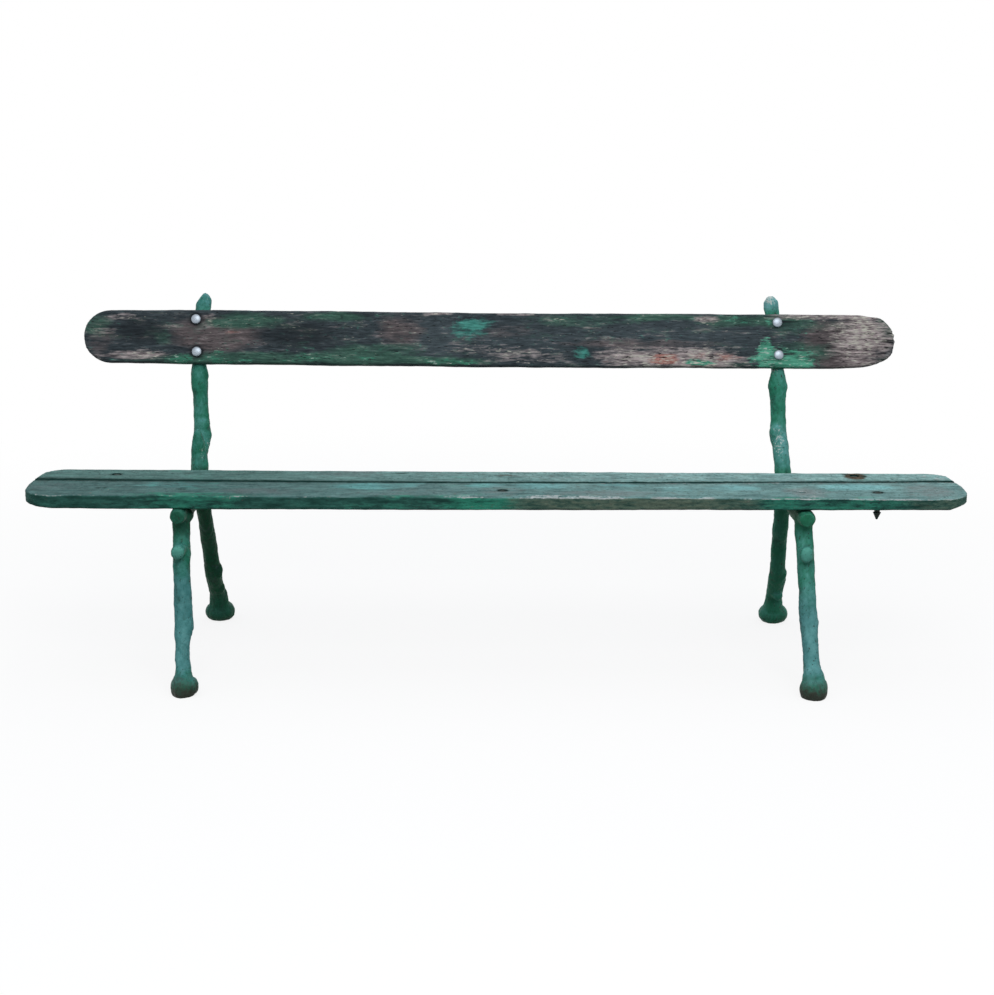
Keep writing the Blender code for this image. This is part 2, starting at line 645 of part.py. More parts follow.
def add_seat_bolts(steel, root):
    """Bolts through the planks into the bearers, and through the planks and straps."""
    shoulder = Vector((0, 0, SEAT_HEAD_SHOULDER))
    frame_grip = SEAT_HEAD_SHOULDER + BEARER_PAD_THICKNESS
    strap_grip = SEAT_HEAD_SHOULDER + CONTACT_GAP + STRAP_THICKNESS
    head = (SEAT_HEAD_DIAMETER, SEAT_HEAD_HEIGHT)
    frame_bolt = bolt_mesh("seat_bolt", *head, BOLT_DIAMETER, bolt_length(frame_grip, 1))
    strap_bolt = bolt_mesh("strap_bolt", *head, BOLT_DIAMETER, bolt_length(strap_grip, 0))
    screw_length = strap_grip + SCREW_PAST_STRAP
    screw = bolt_mesh("coach_screw", *head, SCREW_DIAMETER, screw_length, SCREW_POINT_LENGTH)
    washer = washer_mesh()
    nut = nut_mesh()
    for side in FRAME_XS:
        for row, point in frame_bolt_points(side).items():
            name = f"seat_{side}_{row}"
            add_bolt_set(name, frame_bolt, washer, nut, point + shoulder, frame_grip, LEVEL, steel, root)
    for place in STRAP_XS:
        for row, point in strap_bolt_points(place).items():
            seat = point + shoulder
            if (place, row) == ("right", "front"):
                add_piece("coach_screw", screw, steel, root, seat + Vector((0, 0, CONTACT_GAP)))
            else:
                name = f"strap_{place}_{row}"
                add_bolt_set(name, strap_bolt, None, nut, seat, strap_grip, LEVEL, steel, root)


def main():
    root = start_empty_scene()
    iron = make_material("green painted cast iron", (0.035, 0.165, 0.125), 0.55, 0.0)
    seat_paint = make_material("blue-green painted wood", (0.100, 0.230, 0.200), 0.70, 0.0)
    worn_wood = make_material("bare grey wood with green paint left", (0.085, 0.085, 0.075), 0.85, 0.0)
    zinc = make_material("zinc-plated steel", (0.560, 0.600, 0.640), 0.35, 1.0)
    painted_steel = make_material("painted steel", (0.030, 0.060, 0.050), 0.70, 0.0)

    inner = (INNER_CORNER_RADIUS, INNER_CORNER_RADIUS)
    front = (FRONT_CORNER_RADIUS, FRONT_CORNER_RADIUS)
    rear = (REAR_CORNER_RADIUS, REAR_CORNER_RADIUS)
    front_corners = (front, inner, inner, front)
    rear_corners = (inner, rear, rear, inner)
    rear_length = SEAT_LENGTH + REAR_PLANK_EXTRA
    add_seat_plank("front", SEAT_LENGTH, FRONT_PLANK_WIDTH, FRONT_PLANK_Y, front_corners, seat_paint, root)
    add_seat_plank("rear", rear_length, REAR_PLANK_WIDTH, REAR_PLANK_Y, rear_corners, seat_paint, root)
    add_backrest(worn_wood, root)
    add_side_frame("left", LEFT_STUMP_TILT, LEFT_LEG_KNOTS, LEFT_REAR_KNOTS, iron, root)
    add_side_frame("right", -RIGHT_STUMP_TILT, RIGHT_LEG_KNOTS, RIGHT_REAR_KNOTS, iron, root)
    for place in STRAP_XS:
        add_strap(place, painted_steel, root)
    add_backrest_bolts(zinc, root)
    add_seat_bolts(painted_steel, root)


main()
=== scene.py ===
# %% [markdown]
# # A rustic garden bench
# Three old boards, worn green, are bolted to two cast-iron frames that look like tree branches.
# The CAD model already has every size, so this lesson is about surfaces: how years outdoors show
# on wood, on iron and on paint, and how Blender can carve and colour them.
# All lengths are metres, the bench faces -Y, and its length runs along X.

# %% The CAD frame
import math

import bmesh
import bpy
import numpy as np
from mathutils import Matrix, Vector


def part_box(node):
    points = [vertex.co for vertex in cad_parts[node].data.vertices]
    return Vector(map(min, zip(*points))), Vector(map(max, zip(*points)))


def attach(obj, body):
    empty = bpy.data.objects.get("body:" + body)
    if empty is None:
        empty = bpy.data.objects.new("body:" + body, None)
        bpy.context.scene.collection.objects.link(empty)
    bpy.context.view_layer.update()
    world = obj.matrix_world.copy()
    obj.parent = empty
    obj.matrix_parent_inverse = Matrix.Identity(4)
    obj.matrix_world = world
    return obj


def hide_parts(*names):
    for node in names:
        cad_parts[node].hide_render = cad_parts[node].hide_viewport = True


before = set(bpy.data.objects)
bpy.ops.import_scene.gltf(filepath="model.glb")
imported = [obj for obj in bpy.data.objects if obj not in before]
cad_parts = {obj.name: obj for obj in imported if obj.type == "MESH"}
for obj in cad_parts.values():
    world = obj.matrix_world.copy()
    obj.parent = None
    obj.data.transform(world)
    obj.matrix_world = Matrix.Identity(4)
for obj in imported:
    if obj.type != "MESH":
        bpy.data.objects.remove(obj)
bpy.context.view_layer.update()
MILLIMETRES = 1000

# %% [markdown]
# ## The camera
# The photograph was taken from about four metres, half a metre above the backrest, looking down.
# Focal length, height and turn were worked out from the straight lines of the bench.
# The picture is 995 pixels on its long side, so a focal length in pixels becomes one in
# millimetres on the camera's sensor.

# %% Camera
FOCAL_PIXELS = 1768.8
LONG_SIDE_PIXELS = 995
SENSOR_WIDTH = 36
CAMERA_PLACE = (-0.0303, -3.9522, 1.3126)
LOOK_DOWN = 0.2322
TURN_RIGHT = 0.0077
ROLL = -0.0069

turn = Matrix.Rotation(-TURN_RIGHT, 3, "Z")
nod = Matrix.Rotation(math.pi / 2 - LOOK_DOWN, 3, "X")
roll = Matrix.Rotation(-ROLL, 3, "Z")
bpy.ops.object.camera_add(location=CAMERA_PLACE, rotation=(turn @ nod @ roll).to_euler())
camera = bpy.context.object
camera.data.sensor_width = SENSOR_WIDTH
camera.data.lens = FOCAL_PIXELS * SENSOR_WIDTH / LONG_SIDE_PIXELS
bpy.context.scene.camera = camera
bpy.context.scene.view_settings.view_transform = "Standard"
print("lens, mm:", round(camera.data.lens, 2))

# %% [markdown]
# ## Selecting by place
# An operator works on what is selected, and a script has no mouse. So it selects by coordinates:
# a small test says which points belong, and an edge or a face belongs if all its points do.

# %% Selection helpers
def select_only(piece):
    bpy.ops.object.select_all(action="DESELECT")
    piece.select_set(True)
    bpy.context.view_layer.objects.active = piece


def edit(piece, kind, test):
    """Enters edit mode with the vertices, edges or faces selected whose points pass the test."""
    select_only(piece)
    bpy.ops.object.mode_set(mode="EDIT")
    bpy.ops.mesh.select_mode(type=kind)
    bpy.ops.mesh.select_all(action="DESELECT")
    shape = bmesh.from_edit_mesh(piece.data)
    parts = {"VERT": shape.verts, "EDGE": shape.edges, "FACE": shape.faces}[kind]
    for part in parts:
        points = [part] if kind == "VERT" else part.verts
        part.select_set(all(test(point.co) for point in points))
    shape.select_flush_mode()
    bmesh.update_edit_mesh(piece.data)


def leave_edit():
    bpy.ops.object.mode_set(mode="OBJECT")

# %% [markdown]
# ## Finishing a step
# A hand at the mouse would press Apply after a move or a modifier, so that the mesh itself is
# changed and the next step starts from it. These helpers do the same. A Boolean also uses up the
# object that it cuts with.

# %% Applying helpers
def apply_place(piece):
    """Moves an object's place, turn and scale into its mesh."""
    select_only(piece)
    bpy.ops.object.transform_apply(location=True, rotation=True, scale=True)


def apply_modifier(piece, modifier):
    select_only(piece)
    bpy.ops.object.modifier_apply(modifier=modifier.name)


def combine(piece, operation, tool):
    """Cuts a piece with a tool, or keeps only what the two share."""
    boolean = piece.modifiers.new("combined", "BOOLEAN")
    boolean.operation = operation
    boolean.object = tool
    apply_modifier(piece, boolean)
    bpy.data.objects.remove(tool)


def triangles(piece):
    piece.data.calc_loop_triangles()
    return len(piece.data.loop_triangles)

# %% [markdown]
# ## Sawing a board
# A board begins as a cube scaled to the board's size, lying flat with its length along X.
# Its four upright corner edges are bevelled to the rounded plan, then the long rims, where hands
# and rain have rounded them. The same steps serve all three boards.

# %% Board blanks
CORNER_STEPS = 12
RIM_STEPS = 4


def board_blank(name, length, width, thickness):
    bpy.ops.object.select_all(action="DESELECT")
    bpy.ops.mesh.primitive_cube_add(size=1)
    board = bpy.context.object
    board.name = name
    board.scale = (length, width, thickness)
    apply_place(board)
    return board


def round_corner(board, side_x, side_y, radius):
    """Rounds one corner of the plan, the one on that side of the middle."""
    edit(board, "EDGE", lambda co: co.x * side_x > 0 and co.y * side_y > 0)
    bpy.ops.mesh.bevel(offset=radius, segments=CORNER_STEPS, affect="EDGES")
    leave_edit()


def round_rims(board, top, bottom):
    edit(board, "EDGE", lambda co: co.z > 0)
    bpy.ops.mesh.bevel(offset=top, segments=RIM_STEPS, affect="EDGES")
    leave_edit()
    edit(board, "EDGE", lambda co: co.z < 0 and abs(co.z) > bottom)
    bpy.ops.mesh.bevel(offset=bottom, segments=RIM_STEPS, affect="EDGES")
    leave_edit()

# %% [markdown]
# ## The backrest: its outline
# One long board, half round at the left end and drawn out to a longer curve at the lower right.
# A bevel only makes circles, so the right end's arcs are stretched afterwards. The left end also
# sits a few millimetres higher, which a move of its two corners gives.

# %% Backrest blank
BACK_LENGTH = 1.925
BACK_WIDTH = 0.1282
BACK_THICKNESS = 0.025
BACK_END_RADIUS = 0.063
BACK_RIMS = (0.006, 0.005)
# Upper edge 1, lower edge -1: how long the right end's curve is, how far the left end is raised
BACK_RIGHT_RUN = {1: 0.066, -1: 0.101}
BACK_LEFT_RISE = {1: 0.0042, -1: 0.0028}

half_length = BACK_LENGTH / 2
backrest = board_blank("backrest_board", BACK_LENGTH, BACK_WIDTH, BACK_THICKNESS)
for side_x in (-1, 1):
    for side_y in (-1, 1):
        round_corner(backrest, side_x, side_y, BACK_END_RADIUS)
for side_y, run in BACK_RIGHT_RUN.items():
    edit(backrest, "VERT", lambda co: co.x > 0 and co.y * side_y > 0)
    bpy.ops.transform.resize(value=(run / BACK_END_RADIUS, 1, 1), center_override=(half_length, 0, 0))
    leave_edit()
for side_y, rise in BACK_LEFT_RISE.items():
    edit(backrest, "VERT", lambda co: co.x < 0 and co.y * side_y > 0)
    bpy.ops.transform.translate(value=(0, rise, 0))
    leave_edit()
round_rims(backrest, *BACK_RIMS)
print("backrest blank:", triangles(backrest), "triangles")

# %% [markdown]
# ## Cells along the grain
# Carving needs many small cells. Wood changes slowly along the grain and quickly across it, so
# cells four times as long as they are wide save three quarters of them. A voxel remesh only makes
# cubes, so the board is squeezed along its length, remeshed, and stretched again.

# %% Even cells
BACK_CELL = 0.0016
GRAIN_STRETCH = 4


def even_cells(piece, across, stretch=1):
    piece.scale.x = 1 / stretch
    apply_place(piece)
    cells = piece.modifiers.new("even cells", "REMESH")
    cells.mode = "VOXEL"
    cells.voxel_size = across
    cells.use_smooth_shade = True
    apply_modifier(piece, cells)
    piece.scale.x = stretch
    apply_place(piece)


even_cells(backrest, BACK_CELL, GRAIN_STRETCH)
print("backrest cells:", triangles(backrest), "triangles")

# %% [markdown]
# ## Moving points by numbers
# A board that sags or wears is bent a little everywhere, each point by its own distance. A vertex
# group holds such distances as weights, and a Displace modifier moves the points by them.
# The distances come from three curves: a straight rise, a smooth one, and a bell.

# %% Pushing helpers
def points_of(piece):
    flat = np.empty(3 * len(piece.data.vertices))
    piece.data.vertices.foreach_get("co", flat)
    return flat.reshape(-1, 3)


def weigh(piece, name, weights):
    """A vertex group: how strongly a modifier acts on each point."""
    group = piece.vertex_groups.new(name=name)
    for index, weight in enumerate(weights):
        if weight > 0:
            group.add((index,), float(min(weight, 1)), "REPLACE")
    return name


def push(piece, title, direction, shifts):
    """Moves points along one axis, each by its own distance, with weighted Displace modifiers."""
    furthest = np.abs(shifts).max()
    for sign in (-1, 1):
        shove = piece.modifiers.new(title, "DISPLACE")
        shove.direction = direction
        shove.mid_level = 0
        shove.strength = sign * furthest
        shove.vertex_group = weigh(piece, f"{title} {sign}", sign * shifts / furthest)
        apply_modifier(piece, shove)


def rising(values, start, end):
    """0 up to the start, 1 from the end on, and a straight line between; the end may be the lower one."""
    return np.clip((values - start) / (end - start), 0, 1)


def ramp(values, start, end):
    """The same with a smooth step."""
    share = rising(values, start, end)
    return share * share * (3 - 2 * share)


def bell(values, middle, spread):
    return np.exp(-((values - middle) / spread) ** 2)

# %% [markdown]
# ## The backrest: bent and broken
# The board sags a little between its bolts, is slightly narrower at the left, and has lost
# splinters from both edges near the right end.

# %% Backrest bent
BACK_SAG = 0.0018
SAG_SPREAD = 0.40
LEFT_NARROWER = 0.0023
NARROWER_FROM_TO = (-0.74, -0.80)
EDGE_ZONE = 0.02
# Each broken place: edge (1 upper, -1 lower), rise, place along the board, spread
BROKEN_EDGE = (
    (1, -0.0040, 0.905, 0.018),
    (-1, 0.0026, 0.872, 0.045),
    (-1, -0.0055, 0.953, 0.014),
)

along, across, _ = points_of(backrest).T
bend = -BACK_SAG * bell(along, 0, SAG_SPREAD)
bend -= LEFT_NARROWER * across / (BACK_WIDTH / 2) * rising(along, *NARROWER_FROM_TO)
for edge, rise, middle, spread in BROKEN_EDGE:
    bend += rise * (edge * across > EDGE_ZONE) * bell(along, middle, spread)
push(backrest, "sagging", "Y", bend)
print("backrest bent, mm:", np.round(MILLIMETRES * np.array((bend.min(), bend.max())), 1))

# %% [markdown]
# ## The backrest: weather
# Rain washes out the soft wood between the growth rings, so a bare board has ridges and fissures
# along the grain. A hard cloud pattern, stretched along X, has just such sharp valleys. The ends
# dry fastest, and there the fibres break off unevenly: that is a push along X, lane by lane.
# How far each point was raised or sunk is kept as a number, which the material uses to darken the hollows.

# %% Carving helpers
def carve(piece, title, size, depth, noise="SOFT_NOISE", detail=2, group="", direction="NORMAL"):
    """Pushes the surface in and out by a cloud pattern; an empty's scale sets the pattern's size."""
    bpy.ops.object.empty_add()
    guide = bpy.context.object
    guide.scale = size
    pattern = bpy.data.textures.new(title, "CLOUDS")
    pattern.noise_scale = 1
    pattern.noise_type = noise
    pattern.noise_depth = detail
    relief = piece.modifiers.new(title, "DISPLACE")
    relief.texture = pattern
    relief.texture_coords = "OBJECT"
    relief.texture_coords_object = guide
    relief.strength = depth
    relief.direction = direction
    relief.vertex_group = group
    apply_modifier(piece, relief)
    bpy.data.objects.remove(guide)


def normals_of(piece):
    flat = np.empty(3 * len(piece.data.vertices))
    piece.data.vertex_normals.foreach_get("vector", flat)
    return flat.reshape(-1, 3)


def store(piece, name, values):
    """A number on every point, which a material can read as an attribute."""
    attribute = piece.data.attributes.new(name, "FLOAT", "POINT")
    attribute.data.foreach_set("value", values.astype(np.float32))


def store_relief(piece, before):
    raised = np.einsum("ij,ij->i", points_of(piece) - before, normals_of(piece))
    store(piece, "relief", raised)
    print(piece.name, "carved, mm:", np.round(MILLIMETRES * np.ptp(raised), 1))

# %% Backrest carving
END_FADE = 0.020
RIGHT_END_FADE = 0.080
LEFT_END_SHARE = 0.35
FISSURE_SHARE = 0.55

flat = points_of(backrest)
along, across, deep = flat.T
at_ends = np.exp((np.abs(along) - half_length) / END_FADE) * np.where(along > 0, 1, LEFT_END_SHARE)
at_right_end = np.exp((along - half_length) / RIGHT_END_FADE)
ends = weigh(backrest, "ends", at_ends)
bare = weigh(backrest, "bare", FISSURE_SHARE + (1 - FISSURE_SHARE) * at_right_end)
carve(backrest, "worn edges", (0.160, 0.090, 0.090), 0.0035, direction="Y")
carve(backrest, "broken fibres", (0.300, 0.0100, 0.0100), 0.006, group=ends, direction="X")
carve(backrest, "fissures", (0.070, 0.0055, 0.0055), 0.0026, noise="HARD_NOISE", group=bare)
carve(backrest, "fibres", (0.024, 0.0030, 0.0030), 0.0009, detail=1)
store_relief(backrest, flat)

# %% [markdown]
# ## The backrest: where paint is left
# Most of the front is bare: charcoal grey in the middle, brown round the bolts, paler and pinkish
# where the weather has bleached it. Green paint holds on along the lower edge and round the right
# bolts. The patches are placed one by one, as a painter would, and stored as numbers on the points.
# The material later breaks them up along the grain. Behind, each number is the same all over.

# %% Backrest wood zones
# Each patch: place along the bench, place above the board's middle, half length, half width, amount
WOOD_ZONES = {
    "browned": (
        (-0.67, 0.008, 0.105, 0.042, 1.4), (-0.94, 0.000, 0.030, 0.050, 0.6),
        (-0.23, 0.019, 0.055, 0.034, 0.9), (0.02, 0.020, 0.060, 0.020, 0.4),
        (0.35, -0.010, 0.180, 0.012, 0.7), (0.78, 0.000, 0.060, 0.050, 1.1),
        (0.87, 0.000, 0.060, 0.060, 0.9), (0.81, -0.045, 0.060, 0.025, 1.0),
    ),
    "cracked": (
        (0.925, 0.000, 0.030, 0.070, 1.0), (0.800, -0.010, 0.045, 0.055, 0.70),
        (0.450, -0.045, 0.150, 0.022, 0.70), (-0.955, 0.000, 0.020, 0.060, 0.6),
        (0.160, -0.045, 0.120, 0.015, 0.6), (0.280, -0.040, 0.060, 0.025, 0.5),
    ),
    "greyed": (
        (-0.14, 0.000, 0.060, 0.050, 1.0), (0.05, 0.000, 0.130, 0.040, 0.5),
        (0.42, 0.010, 0.220, 0.040, 0.6),
    ),
    "mossy": (
        (-0.95, 0.030, 0.040, 0.030, 0.7), (-0.79, 0.000, 0.022, 0.018, 0.55),
        (-0.60, 0.042, 0.085, 0.020, 1.0), (-0.58, -0.050, 0.290, 0.016, 1.0),
        (-0.38, 0.052, 0.080, 0.012, 1.0), (-0.30, -0.038, 0.120, 0.026, 0.9),
        (-0.14, -0.053, 0.120, 0.010, 1.0), (0.20, 0.046, 0.130, 0.016, 0.5),
        (0.38, 0.055, 0.100, 0.009, 0.9), (0.58, 0.048, 0.100, 0.016, 1.0),
        (0.50, -0.056, 0.100, 0.008, 0.9), (0.70, 0.040, 0.060, 0.022, 0.8),
        (0.72, -0.030, 0.080, 0.030, 0.8), (0.93, 0.035, 0.030, 0.030, 0.9),
        (0.93, -0.045, 0.030, 0.014, 0.6),
    ),
}
print("wood zones:", {name: len(places) for name, places in WOOD_ZONES.items()})

# %% Backrest paint zones
PAINT_ZONES = {
    "paint": (
        (-0.75, -0.049, 0.030, 0.014, 0.9), (-0.66, -0.057, 0.180, 0.008, 0.6),
        (-0.66, -0.041, 0.036, 0.018, 0.6), (-0.45, -0.036, 0.060, 0.018, 0.45),
        (-0.40, -0.052, 0.100, 0.012, 0.5), (-0.29, -0.040, 0.060, 0.020, 0.4),
        (-0.12, -0.056, 0.085, 0.009, 0.95), (-0.40, 0.053, 0.042, 0.009, 0.35),
        (-0.25, 0.055, 0.070, 0.008, 0.35), (0.13, 0.045, 0.026, 0.011, 0.2),
        (0.29, 0.053, 0.032, 0.009, 0.4), (0.48, -0.053, 0.042, 0.010, 1.0),
        (0.68, -0.046, 0.085, 0.032, 1.2), (0.637, -0.010, 0.018, 0.020, 1.1),
        (0.58, 0.049, 0.050, 0.012, 0.6), (0.65, 0.046, 0.013, 0.016, 0.7),
        (0.74, 0.035, 0.034, 0.024, 0.3),
    ),
    "turquoise": (
        (-0.07, 0.022, 0.042, 0.024, 1.05), (-0.05, 0.040, 0.040, 0.014, 0.7),
        (0.20, -0.031, 0.021, 0.016, 1.2),
    ),
    "bleached": (
        (-0.93, 0.016, 0.030, 0.014, 0.4), (-0.86, -0.041, 0.090, 0.013, 0.8),
        (-0.89, 0.049, 0.045, 0.008, 0.5), (-0.68, 0.051, 0.020, 0.008, 0.5),
        (-0.23, 0.019, 0.050, 0.031, 0.2), (0.00, -0.023, 0.130, 0.013, 0.35),
        (0.07, -0.044, 0.115, 0.015, 0.45), (0.28, -0.037, 0.060, 0.023, 0.6),
        (-0.14, 0.060, 0.036, 0.004, 0.6), (0.03, 0.061, 0.050, 0.004, 0.6),
        (0.44, -0.046, 0.155, 0.031, 1.05), (0.76, 0.058, 0.120, 0.007, 0.8),
        (0.50, 0.051, 0.030, 0.010, 0.8), (0.87, -0.004, 0.090, 0.085, 0.72),
        (0.870, 0.012, 0.030, 0.038, 0.55),
    ),
    "primer": (
        (0.395, -0.046, 0.040, 0.015, 1.2), (0.52, -0.038, 0.080, 0.012, 0.62),
        (-0.63, 0.016, 0.026, 0.011, 0.35), (0.27, -0.052, 0.032, 0.008, 0.35),
    ),
}
print("paint zones:", {name: len(places) for name, places in PAINT_ZONES.items()})

# %% Backrest patches
ZONES = {**WOOD_ZONES, **PAINT_ZONES}
BACK_FACE = {"mossy": 0.5, "paint": 0.3, "bleached": 0.25}


def patches(along, across, places):
    """Soft-edged patches, added up."""
    total = np.zeros(len(along))
    for x, y, half_length, half_width, amount in places:
        far = ((along - x) / half_length) ** 2 + ((across - y) / half_width) ** 2
        total += amount * np.exp(-far ** 2)
    return total


low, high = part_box("backrest_plank")
back_middle = (low + high) / 2
along = along + back_middle.x
front_side = deep > -BACK_THICKNESS / 4
for name, places in ZONES.items():
    store(backrest, name, np.where(front_side, patches(along, across, places), BACK_FACE.get(name, 0)))
print("points on the front:", int(front_side.sum()))

# %% [markdown]
# ## The backrest: into place
# The board has been worked lying flat. Now it is stood up, leaning back 17.5 degrees, with its
# middle where the CAD has it, and the place goes into the mesh.

# %% Backrest placed
BACK_LEAN = math.radians(17.5)
BACK_TILT = math.pi / 2 - BACK_LEAN
BACK_RAISE = -0.0003

board_up = Vector((0, math.cos(BACK_TILT), math.sin(BACK_TILT)))
backrest.rotation_euler.x = BACK_TILT
backrest.location = back_middle + BACK_RAISE * board_up
apply_place(backrest)
print("backrest, m:", [round(side, 3) for side in backrest.dimensions])

# %% [markdown]
# ## The backrest: dark marks
# A dark ring is drawn round each bolt head, fainter at the right, and a dark streak runs from each
# right bolt towards the end. Three larger places look charred.

# %% Backrest dark marks
BOLT_AXIS = np.array((0, -math.sin(BACK_TILT), math.cos(BACK_TILT)))
BOLT_RING_RADIUS = 0.0125
BOLT_RING_SPREAD = 0.0045
BOLT_RING = {"left": 1.0, "right": 0.4}
BOLT_STREAK = (0.0225, 0.002, 0.0225, 0.003, 0.9)
CHARRED = (
    (-0.850, 0.016, 0.065, 0.032, 0.6),
    (-0.470, 0.008, 0.100, 0.030, 0.6),
    (0.775, 0.000, 0.030, 0.030, 0.3),
)

points = points_of(backrest)
grime_and_shade = patches(along, across, CHARRED)
for side, strength in BOLT_RING.items():
    for level in ("upper", "lower"):
        low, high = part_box(f"backrest_{side}_{level}_washer")
        offset = points - np.array((low + high) / 2)
        offset -= np.outer(offset @ BOLT_AXIS, BOLT_AXIS)
        grime_and_shade += strength * bell(np.linalg.norm(offset, axis=1), BOLT_RING_RADIUS, BOLT_RING_SPREAD)
        if side == "right":
            grime_and_shade += patches(offset[:, 0], offset[:, 2], [BOLT_STREAK])
store(backrest, "grime_and_shade", np.where(front_side, np.clip(grime_and_shade, 0, 1), 0))
print("stained points:", int((grime_and_shade > 0.5).sum()))

# %% [markdown]
# ## The seat boards
# The front board is wider and has large rounded corners in front, the rear board behind.
# The corners next to the gap are almost square. The same blank, bevels and cells serve again.

# %% Seat boards
SEAT_CELL = 0.0017
INNER_CORNER = 0.005
FRONT_CORNER = 0.070
REAR_CORNER = 0.050
SEAT_RIMS = (0.0035, 0.004)


def seat_board(name, plank, outer_side, outer_radius):
    low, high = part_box(plank)
    size = high - low
    board = board_blank(name, size.x, size.y, size.z)
    for side_x in (-1, 1):
        round_corner(board, side_x, outer_side, outer_radius)
        round_corner(board, side_x, -outer_side, INNER_CORNER)
    round_rims(board, *SEAT_RIMS)
    even_cells(board, SEAT_CELL, GRAIN_STRETCH)
    board.location = (low + high) / 2
    apply_place(board)
    return board


front_board = seat_board("front_seat_board", "seat_plank_front", -1, FRONT_CORNER)
rear_board = seat_board("rear_seat_board", "seat_plank_rear", 1, REAR_CORNER)
print("seat boards:", triangles(front_board), triangles(rear_board), "triangles")

# %% [markdown]
# ## The seat: crooked and worn boards
# Old boards are never quite straight. The gap between these two bends backwards at both ends and
# is almost closed in the middle, the board ends bow outwards, and the front edge is worn thinner
# towards the right. Each is a push by a flat curve.

# %% Seat bent
front_low, front_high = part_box("seat_plank_front")
SEAT_FRONT = front_low.y
SEAT_BOTTOM = front_low.z
SEAT_TOP = front_high.z
GAP_MIDDLE = (front_high.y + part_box("seat_plank_rear")[0].y) / 2
GAP_CLOSED = 0.0022
GAP_CLOSED_TO = 0.85
END_BOW = 0.008
BOW_MIDDLE = -0.055
BOW_SPREAD = 0.075
BOW_FROM_TO = (0.93, 1.03)
THINNER_RIGHT = 0.006
THIN_FRONT = (SEAT_FRONT + 0.034, SEAT_FRONT + 0.004)
THIN_ALONG = (-0.3, 1.0)
THIN_TIP = (0.965, 1.025)
RIGHT_TIP = 1.7
LEFT_TIP = 0.4
# The gap side of the front board faces back, that of the rear board faces forward
GAP_SIDES = {front_board: 1, rear_board: -1}


def gap_line(along):
    """How far behind its straight place the gap between the seat boards runs."""
    middle, slope, curve = -0.012, 0.011, 0.021
    return middle + slope * along + curve * along ** 2


for board, gap_side in GAP_SIDES.items():
    along, across, level = points_of(board).T
    outer_y = across.min() if board == front_board else across.max()
    closed = gap_side * GAP_CLOSED * np.clip(1 - (along / GAP_CLOSED_TO) ** 2, 0, 1)
    share = (across - outer_y) / (GAP_MIDDLE - outer_y)
    push(board, "crooked", "Y", share * (gap_line(along) + closed))
    along, across, level = points_of(board).T
    bow = END_BOW * np.sign(along) * rising(np.abs(along), *BOW_FROM_TO)
    push(board, "bowed ends", "X", bow * bell(across, BOW_MIDDLE, BOW_SPREAD))
    if board == front_board:
        at_front = rising(across, *THIN_FRONT) * rising(along, *THIN_ALONG)
        at_tip = rising(np.abs(along), *THIN_TIP) * np.where(along > 0, RIGHT_TIP, LEFT_TIP)
        below = (SEAT_TOP - level) / (SEAT_TOP - SEAT_BOTTOM)
        push(board, "thinner right", "Z", below * THINNER_RIGHT * np.maximum(at_front, at_tip))
print("gap moved, mm:", np.round(MILLIMETRES * gap_line(np.array((-1, 0, 1))), 1))

# %% [markdown]
# ## The seat: carving
# Both boards are painted, so the grain shows only softly. The front rim is worn in waves by the
# people who sat there, and the rims along the gap are nibbled by the weather.

# %% Seat carving
RIM_WEAR = 0.0045
RIM_WEAR_WIDTH = 0.012
GAP_WEAR = 0.0040
GAP_WEAR_WIDTH = 0.009
# A rim reaches to where the surface faces up by this share
GAP_RIM_FACING = 0.1
FRONT_RIM_FACING = -0.3

seat_flat = {board: points_of(board) for board in GAP_SIDES}
for board, flat in seat_flat.items():
    carve(board, "worn edges", (0.200, 0.060, 0.060), 0.0022, direction="Y")
    carve(board, "dips", (0.160, 0.045, 0.045), 0.0016, direction="Z")
    carve(board, "soft grain", (0.080, 0.0060, 0.0060), 0.0014, noise="HARD_NOISE")
    carve(board, "brush marks", (0.020, 0.0034, 0.0034), 0.0006, detail=1)
    along, across, _ = flat.T
    upper_side = normals_of(board)[:, 2] > GAP_RIM_FACING
    gap_rim = bell(across - gap_line(along), GAP_MIDDLE, GAP_WEAR_WIDTH) * upper_side
    gap_group = weigh(board, "gap rim", gap_rim)
    carve(board, "worn gap", (0.030, 0.020, 0.020), GAP_WEAR, direction="Z", group=gap_group)
    rim_side = normals_of(board)[:, 2] > FRONT_RIM_FACING
    front_rim = bell(across, SEAT_FRONT, RIM_WEAR_WIDTH) * rim_side
    rim_group = weigh(board, "front rim", front_rim)
    carve(board, "worn rim", (0.060, 0.030, 0.030), RIM_WEAR, direction="Z", group=rim_group)
    print(board.name, "worn rim points:", int((front_rim > 0.5).sum()))

# %% [markdown]
# ## The seat: a rotten place
# One bolt at the right rear sits in a brown hollow, where water stands and the wood has rotted.
# A fine cloud that moves the surface up and down, only there, crumbles it.

# %% Rot pocket
ROT = (0.830, 0.046, 0.025, 0.033, 1)
ROT_DEPTH = 0.005

along, across, _ = seat_flat[rear_board].T
rotten = patches(along, across, [ROT]) * (normals_of(rear_board)[:, 2] > 0)
rot = weigh(rear_board, "rot", rotten)
carve(rear_board, "rot pocket", (0.012, 0.008, 0.008), -ROT_DEPTH, group=rot, direction="Z")
print("rotten points:", int((rotten > 0.5).sum()))

# %% [markdown]
# ## The branch frames
# Each side frame is one iron casting: two legs, a seat bearer and an upright, modelled on boughs.
# Its bends were fitted in the CAD, so the piece starts as a copy of that mesh. A CAD mesh is
# loose triangles, so the copy's points are merged first.

# %% Frame castings
SIDES = ("left", "right")
MERGE_WITHIN = 1e-5


